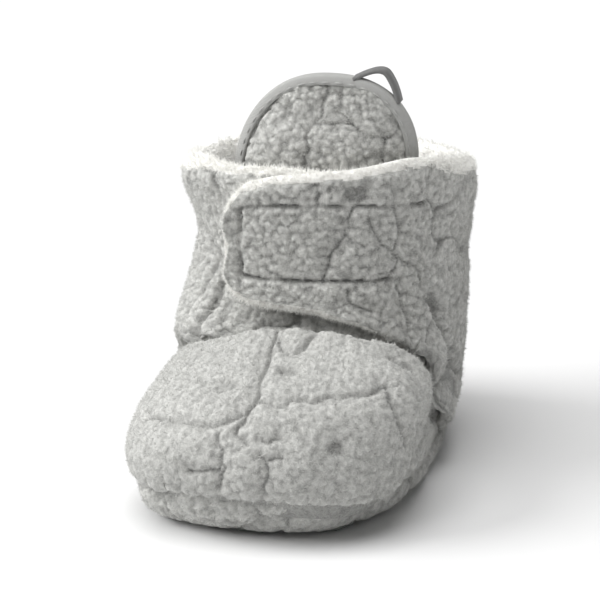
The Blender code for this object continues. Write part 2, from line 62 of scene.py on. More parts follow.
Node = bpy.types.Node
Socket = bpy.types.NodeSocket
Value = Socket | float | tuple[float, ...]
MM = 0.001
BODY = "root"
BAKE_MAP = "OFBake"

WALL = 3.6              # fleece, padding and pile lining of the upper
GAP = 0.3
GRIP_HEIGHT = 1.0
SOLE_BOTTOM = GRIP_HEIGHT + GAP
SEAM_HEIGHT = 7.5
SOLE_TOP = SEAM_HEIGHT - GAP
TAPE_THICK = 1.1
LAYER_STEP = WALL + TAPE_THICK + 2 * GAP
COLLAR = 7.0            # level of the wrap's top edge
REAR_GRIP = ("grip_pad_10", (0.0, 47.1))   # a packed pad and its place in the pattern frame
PAD_TURN = 30.0         # degrees from +X to the first flat of a pad
TRACK_POINTS = 2000     # points of a line that is then cut into equal lengths
FAR = 9.0               # a distance past any channel or seed


class Ring(NamedTuple):
    """One girth ring round the foot, seen in plan as a superellipse from toe to heel."""

    front_y: float
    front_z: float
    back_y: float
    back_z: float
    half_width: float
    shift_x: float
    taper: float
    waist: float
    squareness: float
    side_dip: float


class Edge(NamedTuple):
    """A place on the last: angle round the foot, and level counted in rings."""

    angle: float
    level: float


class Pit(NamedTuple):
    """A round spot where the pile is pressed flat, with its radius in millimetres."""

    angle: float
    level: float
    radius: float


class Profile(NamedTuple):
    """A point of the sole's edge in section."""

    inset: float
    height: float


class Span(NamedTuple):
    """Stretch over which something comes in, holds and fades."""

    start: float
    full: float
    fade: float
    end: float

    def share(self, at: Array) -> Array:
        """Share from 0 outside the stretch to 1 where it holds."""
        return ease(at, self.start, self.full) * ease(at, self.end, self.fade)


VAMP_RINGS = (
    Ring(-58.5, SEAM_HEIGHT, 61.0, SEAM_HEIGHT, 34.5, 0.0, -0.11, 0.03, 2.5, 0.0),
    Ring(-64.2, 16.0, 63.0, 14.5, 37.2, 0.0, -0.16, 0.05, 2.5, 0.0),
    Ring(-64.0, 26.0, 62.0, 24.0, 36.2, 0.0, -0.14, 0.09, 2.45, 0.5),
    Ring(-57.0, 36.0, 61.0, 33.0, 34.6, 0.0, 0.00, 0.08, 2.3, 3.0),
    Ring(-42.5, 41.0, 60.0, 38.0, 33.0, 0.0, 0.12, 0.08, 2.25, 3.5),
    Ring(-25.0, 41.0, 58.0, 42.0, 31.5, 0.0, 0.20, 0.08, 2.2, 2.5),
    Ring(-13.5, 43.0, 56.0, 46.0, 28.0, 0.0, 0.15, 0.0, 2.3, 1.0),
    Ring(-8.0, 50.0, 54.0, 52.0, 24.0, 0.0, 0.00, 0.0, 2.3, 0.0),
)
WRAP_RINGS = (
    Ring(-58.5, SEAM_HEIGHT, 62.0, SEAM_HEIGHT, 36.0, 0.0, -0.06, 0.03, 2.5, 0.0),
    Ring(-61.0, 16.0, 65.0, 16.0, 39.6, 0.6, -0.08, 0.05, 2.5, 0.0),
    Ring(-50.0, 26.0, 65.5, 26.0, 39.2, 0.6, -0.05, 0.10, 2.5, 0.0),
    Ring(-29.0, 36.0, 64.5, 36.0, 39.2, 0.0, -0.02, 0.05, 2.45, 0.0),
    Ring(-20.5, 46.0, 63.0, 46.0, 38.4, 0.0, 0.00, 0.0, 2.4, 0.0),
    Ring(-17.0, 58.0, 61.0, 56.0, 38.0, 0.3, 0.00, 0.0, 2.4, 0.0),
    Ring(-16.0, 73.0, 60.5, 67.0, 38.8, 0.0, 0.00, 0.0, 2.4, 1.5),
    Ring(-16.5, 91.0, 61.5, 80.0, 40.6, -0.4, 0.00, 0.0, 2.4, 4.5),
    Ring(-12.0, 116.0, 66.0, 106.0, 47.0, 0.0, 0.00, 0.0, 2.3, 4.5),
)
WAIST_AT = -0.15
WAIST_SPAN = 0.4
TOE_SPRING = 3.0
SPRING_START_Y = -50.0
SPRING_END_Y = -65.0
SPRING_FADE_HEIGHT = 40.0
TOE_SWING = -3.0
SWING_START_Y = -5.0
PROBE_TURN = 1.0        # degrees and levels to the points that give a direction
PROBE_LEVEL = 0.05


def smooth(knots: Sequence[float], values: Sequence, at: Array) -> Array:
    """Follow a cubic curve through values at knots.

    Args:
        knots: Rising places of the values.
        values: A number or a row of numbers for each knot.
        at: Places to read, held inside the knots.

    Returns:
        The curve's numbers, with the rows' columns last.
    """
    knots = np.asarray(knots, float)
    values = np.asarray(values, float)
    slopes = np.gradient(values, knots, axis=0)
    at = np.clip(at, knots[0], knots[-1])
    i = np.clip(np.searchsorted(knots, at, side="right") - 1, 0, len(knots) - 2)
    width = knots[i + 1] - knots[i]
    f = (at - knots[i]) / width
    if values.ndim > 1:
        f = f[..., None]
        width = width[..., None]
    rise = f * f * (3 - 2 * f)
    start = f * (1 - f) ** 2 * width
    stop = f * f * (f - 1) * width
    return values[i] * (1 - rise) + values[i + 1] * rise + slopes[i] * start + slopes[i + 1] * stop


def ease(x: Array, low: float, high: float) -> Array:
    """Step softly from 0 at low to 1 at high."""
    f = np.clip((x - low) / (high - low), 0.0, 1.0)
    return f * f * (3 - 2 * f)


def rounding(distance: Array, radius: float) -> Array:
    """Share of the full thickness left at a distance from a rounded edge."""
    f = np.clip(1 - distance / radius, 0.0, 1.0)
    return np.sqrt(1 - f * f)


def edge_level(edge: Line, angle: Array) -> Array:
    """Level of an edge line at an angle."""
    return smooth(*zip(*edge), angle)


def norm(vectors: Array) -> Array:
    """Lengths of vectors."""
    return np.linalg.norm(vectors, axis=-1)


def run_length(points: Array) -> Array:
    """Distance along a line of points, from its first point."""
    return np.concatenate([[0.0], np.cumsum(norm(np.diff(points, axis=0)))])


def even_shares(points: Array, count: int) -> Array:
    """Places among a line's points that cut it into equal lengths."""
    run = run_length(points)
    return np.interp(np.linspace(0.0, run[-1], count), run, np.arange(len(points)))


def even_angles(track: Array, line: Array, count: int) -> Array:
    """Angles of a track at which its line of points is cut into equal lengths."""
    return np.interp(even_shares(line, count), np.arange(len(track)), track)


def through(points: Sequence, count: int) -> Array:
    """Smooth line of so many points through a few given ones."""
    return smooth(np.arange(len(points)), points, np.linspace(0.0, len(points) - 1, count))


def sprung(points: Array) -> Array:
    """Lift the tip of the toe off the floor and swing the toe to the outer side.

    Args:
        points: Points of the straight last.

    Returns:
        The bent points.
    """
    y = points[..., 1]
    fade = np.clip(1 - points[..., 2] / SPRING_FADE_HEIGHT, 0.0, 1.0)
    bent = points.copy()
    bent[..., 0] += TOE_SWING * ease(-y, -SWING_START_Y, -SPRING_END_Y)
    bent[..., 2] += TOE_SPRING * ease(-y, -SPRING_START_Y, -SPRING_END_Y) * fade
    return bent


def unit(vectors: Array) -> Array:
    """Vectors brought to length one."""
    return vectors / np.maximum(norm(vectors)[..., None], 1e-9)


def facing(point: Callable[[Array, Array], Array], u: Array, v: Array, du: float, dv: float) -> Array:
    """Outward direction of a surface, from points a little to each side of a place."""
    turn = point(u + du, v) - point(u - du, v)
    return unit(np.cross(turn, point(u, v + dv) - point(u, v - dv)))


def spokes(count: int, side: Array, other: Array) -> Array:
    """Directions round an axis in even steps, from rows of two directions across it."""
    turn = np.arange(count)[:, None] * 2 * np.pi / count
    return np.cos(turn) * side[:, None] + np.sin(turn) * other[:, None]


@dataclass(frozen=True)
class RingSurface:
    """Surface of the last through a table of rings."""

    rings: tuple[Ring, ...]
    collar_lift: float = 0.0
    inner_side: Span = Span(15.0, 55.0, 85.0, 125.0)
    lift_level: float = 6.0

    def ring_at(self, level: Array) -> Ring:
        """Ring at a level between the table's rings."""
        row = smooth(np.arange(len(self.rings)), self.rings, np.asarray(level, float))
        return Ring(*np.moveaxis(row, -1, 0))

    def point(self, angle: Array, level: Array) -> Array:
        """Point of the surface at an angle and a level.

        Args:
            angle: Angles.
            level: Levels.

        Returns:
            The points.
        """
        angle, level = np.broadcast_arrays(np.asarray(angle, float), np.asarray(level, float))
        ring = self.ring_at(level)
        c = np.cos(np.radians(angle))
        s = np.sin(np.radians(angle))
        along = -np.sign(c) * np.abs(c) ** (2 / ring.squareness)
        across = np.sign(s) * np.abs(s) ** (2 / ring.squareness)
        drawn = 1 - ring.waist * np.exp(-((along - WAIST_AT) / WAIST_SPAN) ** 2)
        x = ring.shift_x + ring.half_width * across * (1 + ring.taper * along) * drawn
        y = (ring.front_y + ring.back_y) / 2 + (ring.back_y - ring.front_y) / 2 * along
        slope = (ring.back_z - ring.front_z) * (along + 1) / 2
        z = ring.front_z + slope - ring.side_dip * (1 - along * along)
        z = z + self.collar_lift * self.inner_side.share(angle) * ease(level, self.lift_level, COLLAR)
        return sprung(np.stack([x, y, z], axis=-1))

    def normal(self, angle: Array, level: Array) -> Array:
        """Outward direction of the surface."""
        return facing(self.point, angle, level, PROBE_TURN, PROBE_LEVEL)

    def layer(self, angle: Array, level: Array, depth: Array | float) -> Array:
        """Point at a depth below the surface."""
        return self.point(angle, level) - self.normal(angle, level) * np.asarray(depth)[..., None]


WRAP_FORM = RingSurface(WRAP_RINGS, 4.0)
VAMP_FORM = RingSurface(VAMP_RINGS)


CELL_PRIMES = np.array((73856093, 19349663, 83492791))
SEED_PRIME = 6542989
STIRS = ((15, 1103515245), (12, 741103597))
LAST_SHIFT = 16
LOW_BITS = 0x7FFFFFFF
FINE = 0xFFFFF


def scatter(cell: Array, seed: int) -> Array:
    """Repeatable numbers from 0 to 1 for whole-number cells.

    Args:
        cell: Cells, with their three whole numbers last.
        seed: Number of the scatter.

    Returns:
        A number for each cell.
    """
    x, y, z = np.moveaxis(cell.astype(np.int64) * CELL_PRIMES, -1, 0)
    code = ((x ^ y ^ z) + seed * SEED_PRIME) & LOW_BITS
    for shift, prime in STIRS:
        code = (code ^ (code >> shift)) * prime & LOW_BITS
    return ((code ^ (code >> LAST_SHIFT)) & FINE) / float(FINE)


def soft_noise(points: Array, size: float, seed: int) -> Array:
    """Smooth noise from -1 to 1 with waves of about a size.

    Args:
        points: Points.
        size: Size of a wave.
        seed: Number of the scatter.

    Returns:
        Noise for each point.
    """
    scaled = points / size
    base = np.floor(scaled)
    f = scaled - base
    f = f * f * (3 - 2 * f)
    total = np.zeros(points.shape[:-1])
    for corner in np.ndindex(2, 2, 2):
        weight = np.prod(np.where(np.array(corner) == 1, f, 1 - f), axis=-1)
        total += weight * scatter(base + corner, seed)
    return total * 2 - 1


def wander(points: Array, size: float, reach: float, seed: int) -> Array:
    """Points moved by smooth noise, up to a reach in each direction."""
    moves = [soft_noise(points, size, seed + k) for k in range(3)]
    return points + np.stack(moves, axis=-1) * reach


def nearest_seeds(points: Array, size: float, seed: int) -> Array:
    """Distances to the three nearest seeds scattered one to a cell.

    Args:
        points: Points.
        size: Size of a cell.
        seed: Number of the scatter.

    Returns:
        The three distances, nearest first, on the first axis.
    """
    scaled = points / size
    base = np.floor(scaled)
    best = np.full((3, *points.shape[:-1]), FAR)
    for offset in np.ndindex(3, 3, 3):
        cell = base + np.array(offset) - 1
        place = np.stack([scatter(cell, seed + k) for k in range(3)], axis=-1)
        reach = norm(scaled - cell - place)
        best = np.sort(np.concatenate([best, reach[None]]), axis=0)[:3]
    return best * size


@dataclass(frozen=True)
class EmbossedPile:
    """Fleece pile pressed into puffy patches with narrow channels between them."""

    patch: float = 20.0
    channel: float = 0.12
    shoulder: float = 0.95
    flat: float = 0.3
    depth: float = 1.0
    crown: float = 0.8
    curl: float = 1.7
    curl_height: float = 0.65
    curl_shade: float = 0.85
    mean_shade: float = 0.58
    dimple_every: float = 17.0
    dimple_radius: float = 1.3
    dimple_depth: float = 1.0
    dimple_shade: float = 0.8
    long_wander: Reach = (9.0, 3.4)
    short_wander: Reach = (3.6, 1.3)
    rim_scale: float = 1.35
    corner_reach: float = 3.2
    crown_reach: float = 5.0
    faint: float = 0.8
    faint_size: float = 9.0
    faint_range: Reach = (-0.1, 0.5)
    drawn_firm: float = 0.7
    curl_least: float = 0.45
    seed: int = 40

    def lift(
        self, points: Array, drawn: Array | float = FAR, alone: Array | float = 0.0,
    ) -> tuple[Array, Array]:
        """Height of the pile over the last's surface.

        Args:
            points: Points of the surface.
            drawn: Distance from the listed channels.
            alone: Share by which those stand alone, without the scattered ones.

        Returns:
            Heights in millimetres, and the share from 0 in a channel to 1 on a patch.
        """
        moved = wander(wander(points, *self.long_wander, self.seed), *self.short_wander, self.seed + 5)
        first, second, third = nearest_seeds(moved, self.patch, self.seed + 9)
        near = second - first
        corner = third - first
        rim = 0.5 * near * corner / (near + corner + 1e-6) * self.rim_scale
        rim = rim - self.flat * np.exp(-(corner / self.corner_reach) ** 2)
        rim = np.minimum(rim + FAR * np.asarray(alone), drawn)
        rise = np.clip((rim - self.channel) / self.shoulder, 0.0, 1.0)
        cover = ease(soft_noise(points, self.faint_size, self.seed + 2), *self.faint_range)
        faint = self.faint * cover * (1 - self.drawn_firm * np.asarray(alone))
        puff = 1 - (1 - np.sqrt(1 - (1 - rise) ** 2)) * (1 - faint)
        crown = ease(rim, self.channel, self.crown_reach)
        spot = nearest_seeds(points, self.dimple_every, self.seed + 21)[0]
        dent = np.clip(1 - (spot / self.dimple_radius) ** 2, 0.0, 1.0) ** 1.5
        share = puff * (1 - self.dimple_shade * dent)
        height = self.depth * (puff - 1) + self.crown * crown - self.dimple_depth * dent
        curls = curl_domes(points, self.curl, self.seed + 30)
        full = self.curl_least + (1 - self.curl_least) * share
        height = height + self.curl_height * (curls - 0.5) * full
        # the curl term paints the curl tops lighter and the gaps between them darker, as painted shade of the
        # curls
        return height, share * (self.mean_shade + self.curl_shade * (curls - 0.5))


@dataclass(frozen=True)
class PlushPile:
    """Long white pile of the lining, in loose curls."""

    curl: float = 2.3
    curl_height: float = 0.8
    lump: float = 4.5
    lump_height: float = 0.25
    root_shade: float = 0.35
    seed: int = 90

    def lift(self, points: Array) -> tuple[Array, Array]:
        """Height of the pile and its share, as for the fleece.

        Args:
            points: Points of the surface.

        Returns:
            Heights and shares.
        """
        curls = curl_domes(points, self.curl, self.seed)
        lumps = soft_noise(points, self.lump, self.seed + 7)
        height = self.curl_height * (curls - 0.5) + self.lump_height * lumps
        return height, self.root_shade + (1 - self.root_shade) * curls


CURL_SWIRL = 0.9        # shares of a curl's size
CURL_STRAY = 0.35
CURL_RADIUS = 0.78


def curl_domes(points: Array, size: float, seed: int) -> Array:
    """Rounded curls of pile from 0 between them to 1 on top."""
    nearest = nearest_seeds(wander(points, size * CURL_SWIRL, size * CURL_STRAY, seed), size, seed + 3)[0]
    return np.clip(1 - (nearest / (size * CURL_RADIUS)) ** 2, 0.0, 1.0)


FLEECE_PILE = EmbossedPile()
TOE_PILE = EmbossedPile(
    channel=0.25, shoulder=1.1, curl=1.6, curl_height=0.5, curl_shade=0.5, mean_shade=0.5, crown=0.9,
)
LINING_PILE = PlushPile()
CHANNEL_STEPS = 8       # points drawn for each given point of a channel
RAGGED = ((3.0, 1.1, 0.07), (1.5, 0.7, 0.04))    # length, and reach in degrees and in levels
RAGGED_SEED = 81


def off_path(points: Array, path: Array) -> Array:
    """Distance of points from a path.

    Args:
        points: Points.
        path: Points of the path, in order.

    Returns:
        The least distance for each point.
    """
    best = np.full(points.shape[:-1], np.inf)
    for a, b in zip(path[:-1], path[1:]):
        along = b - a
        f = np.clip(((points - a) @ along) / (along @ along), 0.0, 1.0)
        best = np.minimum(best, norm(points - a - f[..., None] * along))
    return best


def trough(points: Array, path: Array, width: float) -> Array:
    """Share from 0 to 1 by which points lie in a soft trough of a half width along a path."""
    return np.exp(-(off_path(points, path) / width) ** 2)


def off_channels(
    form: RingSurface, channels: Sequence[Line], pits: Sequence[Pit], skin: Array,
) -> Array:
    """Distance from listed channels and pits, each channel with a ragged line.

    Args:
        form: The surface that they are drawn on.
        channels: Angles and levels of the channels' points.
        pits: The round spots.
        skin: Points of the surface.

    Returns:
        Distances in millimetres.
    """
    best = np.full(skin.shape[:-1], FAR)
    for channel in channels:
        line = through(channel, CHANNEL_STEPS * (len(channel) - 1) + 1)
        angle, level = line.T
        path = form.point(angle, level)
        for k, (size, turn, climb) in enumerate(RAGGED):
            angle = angle + turn * soft_noise(path, size, RAGGED_SEED + 2 * k)
            level = level + climb * soft_noise(path, size, RAGGED_SEED + 2 * k + 1)
        best = np.minimum(best, off_path(skin, form.point(angle, level)))
    for pit in pits:
        middle = form.point(np.array(pit.angle), np.array(pit.level))
        best = np.minimum(best, np.maximum(norm(skin - middle) - pit.radius, 0.0))
    return best


class Graph:
    """Short ways to add and join shader nodes."""

    def __init__(self, tree: NodeTree) -> None:
        """Work on a node tree."""
        self.tree = tree

    def feed(self, node: Node, **inputs: Value) -> Node:
        """Give a node's inputs their values or sockets.

        Args:
            node: The node.
            **inputs: Values or sockets by name, with _ for a space, or by i and a number.

        Returns:
            The same node.
        """
        for key, value in inputs.items():
            socket = node.inputs[int(key[1:])] if key[1:].isdigit() else node.inputs[key.replace("_", " ")]
            if isinstance(value, Socket):
                self.tree.links.new(value, socket)
            else:
                socket.default_value = value
        return node

    def add(self, kind: str, settings: dict | None = None, **inputs: Value) -> Node:
        """Add a node.

        Args:
            kind: The node's type name without its ShaderNode start.
            settings: Attributes of the node.
            **inputs: Values or sockets for its inputs, as for feed.

        Returns:
            The new node.
        """
        name = kind if kind.startswith("Node") else "ShaderNode" + kind
        node = self.tree.nodes.new(name)
        for key, value in (settings or {}).items():
            setattr(node, key, value)
        return self.feed(node, **inputs)

    def math(self, operation: str, *values: Value) -> Socket:
        """Output of a math node on values or sockets."""
        inputs = {f"i{k}": value for k, value in enumerate(values)}
        return self.add("Math", {"operation": operation}, **inputs).outputs[0]

    def bump(self, height: Value, strength: float, distance: float) -> Socket:
        """Normal of a bump node."""
        return self.add("Bump", Strength=strength, Distance=distance, Height=height).outputs["Normal"]

    @property
    def shader(self) -> Node:
        """Shader of a material."""
        return self.tree.nodes["Principled BSDF"]

    def blend(self, share: Value, low: Colour, high: Colour) -> Socket:
        """Output of a mix from a low colour to a high one."""
        return self.add("Mix", {"data_type": "RGBA"}, i0=share, i6=rgba(low), i7=rgba(high)).outputs[2]


def new_group(
    name: str, inputs: dict[str, float], outputs: Sequence[str],
) -> tuple[NodeTree, Graph, Node, Node]:
    """Start a shader node group with named number sockets.

    Args:
        name: The group's name.
        inputs: Names and usual values of its inputs.
        outputs: Names of its outputs.

    Returns:
        The group, its graph, its input node and its output node.
    """
    group = bpy.data.node_groups.new(name, "ShaderNodeTree")
    for label, value in inputs.items():
        socket = group.interface.new_socket(label, in_out="INPUT", socket_type="NodeSocketFloat")
        socket.default_value = value
    for label in outputs:
        group.interface.new_socket(label, in_out="OUTPUT", socket_type="NodeSocketFloat")
    graph = Graph(group)
    return group, graph, graph.add("NodeGroupInput"), graph.add("NodeGroupOutput")


def nap_group() -> NodeTree:
    """Curled nap: height for a bump and a shade from dark roots to light tips, taken from that same height,
    so that the bump's low places are painted shade.

    Returns:
        The new group.
    """
    sizes = {"Curl Size": 0.0016, "Fibre Size": 0.0004}
    curl_share = 0.6
    group, graph, start, end = new_group("curled_nap", sizes, ("Height", "Shade"))
    place = graph.add("TexCoord").outputs["Object"]
    curl = graph.math("DIVIDE", 1.0, start.outputs["Curl Size"])
    fibre = graph.math("DIVIDE", 1.0, start.outputs["Fibre Size"])
    swirl = graph.add("TexNoise", Vector=place, Scale=curl, Detail=3.0, Roughness=0.6, Distortion=1.2)
    hairs = graph.add("TexNoise", Vector=place, Scale=fibre, Detail=2.0, Roughness=0.65, Distortion=2.0)
    lump = graph.math("MULTIPLY", swirl.outputs["Fac"], curl_share)
    height = graph.math("MULTIPLY_ADD", hairs.outputs["Fac"], 1 - curl_share, lump)
    shade = graph.add("MapRange", Value=height, From_Min=0.42, From_Max=0.58).outputs[0]
    graph.feed(end, Height=height, Shade=shade)
    return group


def weave_group() -> NodeTree:
    """Plain weave of fine threads: height for a bump and a shade from that same height, painted shade where
    the threads dip.

    Returns:
        The new group.
    """
    group, graph, start, end = new_group("plain_weave", {"Thread Size": 0.0005}, ("Height", "Shade"))
    place = graph.add("TexCoord").outputs["Object"]
    full_turn = 6.2832
    thread_height = 0.35
    scale = graph.math("DIVIDE", full_turn, start.outputs["Thread Size"])
    grown = graph.add("VectorMath", {"operation": "SCALE"}, i0=place, Scale=scale)
    parts = graph.add("SeparateXYZ", Vector=grown.outputs[0])
    warp = graph.math("SINE", graph.math("ADD", parts.outputs["X"], parts.outputs["Y"]))
    weft = graph.math("SINE", parts.outputs["Z"])
    cross = graph.math("MULTIPLY", warp, weft)
    fuzz = graph.add("TexNoise", Vector=place, Scale=1800.0, Detail=2.0)
    height = graph.math("MULTIPLY_ADD", cross, thread_height, fuzz.outputs["Fac"])
    shade = graph.add("MapRange", Value=height, From_Min=0.1, From_Max=0.9).outputs[0]
    graph.feed(end, Height=height, Shade=shade)
    return group


def shared_group(name: str, maker: Callable[[], NodeTree]) -> NodeTree:
    """The node group of a name, made on first use."""
    return bpy.data.node_groups.get(name) or maker()


def rgba(colour: Colour) -> tuple[float, float, float, float]:
    """A colour with full cover."""
    return (*colour, 1.0)


@dataclass(frozen=True)
class Finish:
    """A finish of the shoe, kept as one material under its name."""

    name: str

    def dress(self, graph: Graph) -> None:
        """Set the shader's inputs, in each finish's own way."""
        raise NotImplementedError

    def material(self) -> bpy.types.Material:
        """The finish's material, made on first use.

        Returns:
            The material.
        """
        made = bpy.data.materials.get(self.name)
        if not made:
            made = bpy.data.materials.new(self.name)
            made.use_nodes = True
            self.dress(Graph(made.node_tree))
        return made


@dataclass(frozen=True)
class PileFinish(Finish):
    """Pile fabric, darker at the roots and in its channels: partly its greyer base fabric, and partly painted
    shade between the curls, in creases and along hems and seams.
    """

    root: Colour
    tip: Colour
    curl_size: float
    fibre_size: float
    bump: float
    sheen: float
    bump_height: float = 0.0009
    lift_share: float = 0.7
    roughness: float = 0.95
    specular: float = 0.2
    sheen_roughness: float = 0.45

    def dress(self, graph: Graph) -> None:
        """Set the shader's inputs.

        Args:
            graph: Graph of the material.
        """
        nap = graph.add(
            "Group", {"node_tree": shared_group("curled_nap", nap_group)},
            Curl_Size=self.curl_size, Fibre_Size=self.fibre_size,
        )
        # pile_lift holds the pile's share, with painted shade in its low places, creases, hems and seams; it
        # mixes the root and tip colours
        lift = graph.add("Attribute", {"attribute_name": "pile_lift"}).outputs["Fac"]
        deep = graph.math("MULTIPLY", lift, self.lift_share)
        level = graph.math("MULTIPLY_ADD", nap.outputs["Shade"], 1 - self.lift_share, deep)
        bump = graph.bump(nap.outputs["Height"], self.bump, self.bump_height)
        graph.feed(
            graph.shader, Base_Color=graph.blend(level, self.root, self.tip), Normal=bump,
            Roughness=self.roughness, Specular_IOR_Level=self.specular,
            Sheen_Weight=self.sheen, Sheen_Roughness=self.sheen_roughness,
        )


@dataclass(frozen=True)
class WovenFinish(Finish):
    """Smooth woven tape or label."""

    low: Colour
    high: Colour
    thread: float
    bump: float
    bump_height: float = 0.0003
    roughness: float = 0.75
    sheen: float = 0.15

    def dress(self, graph: Graph) -> None:
        """Set the shader's inputs.

        Args:
            graph: Graph of the material.
        """
        weave = graph.add(
            "Group", {"node_tree": shared_group("plain_weave", weave_group)}, Thread_Size=self.thread,
        )
        bump = graph.bump(weave.outputs["Height"], self.bump, self.bump_height)
        graph.feed(
            graph.shader, Base_Color=graph.blend(weave.outputs["Shade"], self.low, self.high),
            Normal=bump, Roughness=self.roughness, Sheen_Weight=self.sheen,
        )


@dataclass(frozen=True)
class SiliconeFinish(Finish):
    """Satin moulded silicone with a fine sand grain and dust."""

    dark: Colour
    light: Colour
    cloud_scale: float = 160.0
    grain_scale: float = 2600.0
    smoothest: float = 0.38
    roughest: float = 0.58
    bump: float = 0.12
    bump_height: float = 0.0002

    def dress(self, graph: Graph) -> None:
        """Set the shader's inputs.

        Args:
            graph: Graph of the material.
        """
        place = graph.add("TexCoord").outputs["Object"]
        tint = graph.add("TexNoise", Vector=place, Scale=self.cloud_scale, Detail=3.0).outputs["Fac"]
        grain = graph.add("TexNoise", Vector=place, Scale=self.grain_scale, Detail=1.0).outputs["Fac"]
        rough = graph.add("MapRange", Value=tint, To_Min=self.smoothest, To_Max=self.roughest)
        bump = graph.bump(grain, self.bump, self.bump_height)
        graph.feed(
            graph.shader, Base_Color=graph.blend(tint, self.dark, self.light), Normal=bump,
            Roughness=rough.outputs[0],
        )


FLEECE = PileFinish("fleece_pile", (0.24, 0.24, 0.23), (0.75, 0.75, 0.72), 0.0013, 0.00042, 0.6, 0.25)
PLUSH = PileFinish("plush_pile", (0.80, 0.79, 0.75), (0.97, 0.963, 0.935), 0.0017, 0.0005, 0.6, 0.2)
TAPE = WovenFinish("tape_weave", (0.32, 0.32, 0.31), (0.44, 0.44, 0.425), 0.0006, 0.35)
# the pull loop is the binding tape, painted darker as shade of the loop's inner side
SHADED_LOOP_TAPE = WovenFinish("loop_tape_painted_shade", (0.12, 0.12, 0.118), (0.19, 0.19, 0.186), 0.0006, 0.35)
HOOK = WovenFinish("hook_weave", (0.16, 0.16, 0.16), (0.34, 0.34, 0.34), 0.0011, 1.0)
LABEL = WovenFinish("label_weave", (0.68, 0.65, 0.57), (0.82, 0.79, 0.70), 0.0005, 0.5)
THREAD = WovenFinish("sewing_thread", (0.13, 0.13, 0.125), (0.24, 0.24, 0.23), 0.0004, 0.5)
GRIP = SiliconeFinish("grip_silicone", (0.205, 0.225, 0.21), (0.27, 0.295, 0.27))


class Cloth(Enum):
    """Face of a sheet, by its place among the piece's materials."""

    OUTSIDE = 0
    LINING = 1


class Patch(NamedTuple):
    """Rectangle of the baking map that a grid or a band takes."""

    left: float
    low: float
    right: float
    high: float

    def at(self, u: Array, v: Array) -> Array:
        """Places of the map for shares across and up the rectangle."""
        across = self.left + (self.right - self.left) * u
        return np.stack(np.broadcast_arrays(across, self.low + (self.high - self.low) * v), axis=-1)


GREY_RIM = (Cloth.OUTSIDE,) * 4
WHITE_TOP = (Cloth.OUTSIDE, Cloth.OUTSIDE, Cloth.LINING, Cloth.OUTSIDE)
WHITE_TOP_AND_END = (Cloth.OUTSIDE, Cloth.OUTSIDE, Cloth.LINING, Cloth.LINING)
FACE_PATCH = Patch(0.0, 0.0, 1.0, 0.66)
BACK_PATCH = Patch(0.0, 0.67, 1.0, 0.93)
RIM_PATCHES = tuple(Patch(0.0, 0.94 + 0.015 * k, 1.0, 0.95 + 0.015 * k) for k in range(4))


def frame_shift() -> Array:
    """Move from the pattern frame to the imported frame, read from a packed pad.

    Returns:
        The move in millimetres.
    """
    low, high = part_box(REAR_GRIP[0])
    middle = (np.array(low) + np.array(high)) / 2 / MM
    x, y = REAR_GRIP[1]
    return np.array([middle[0] - x, middle[1] - y, 0.0])


SHIFT = frame_shift()


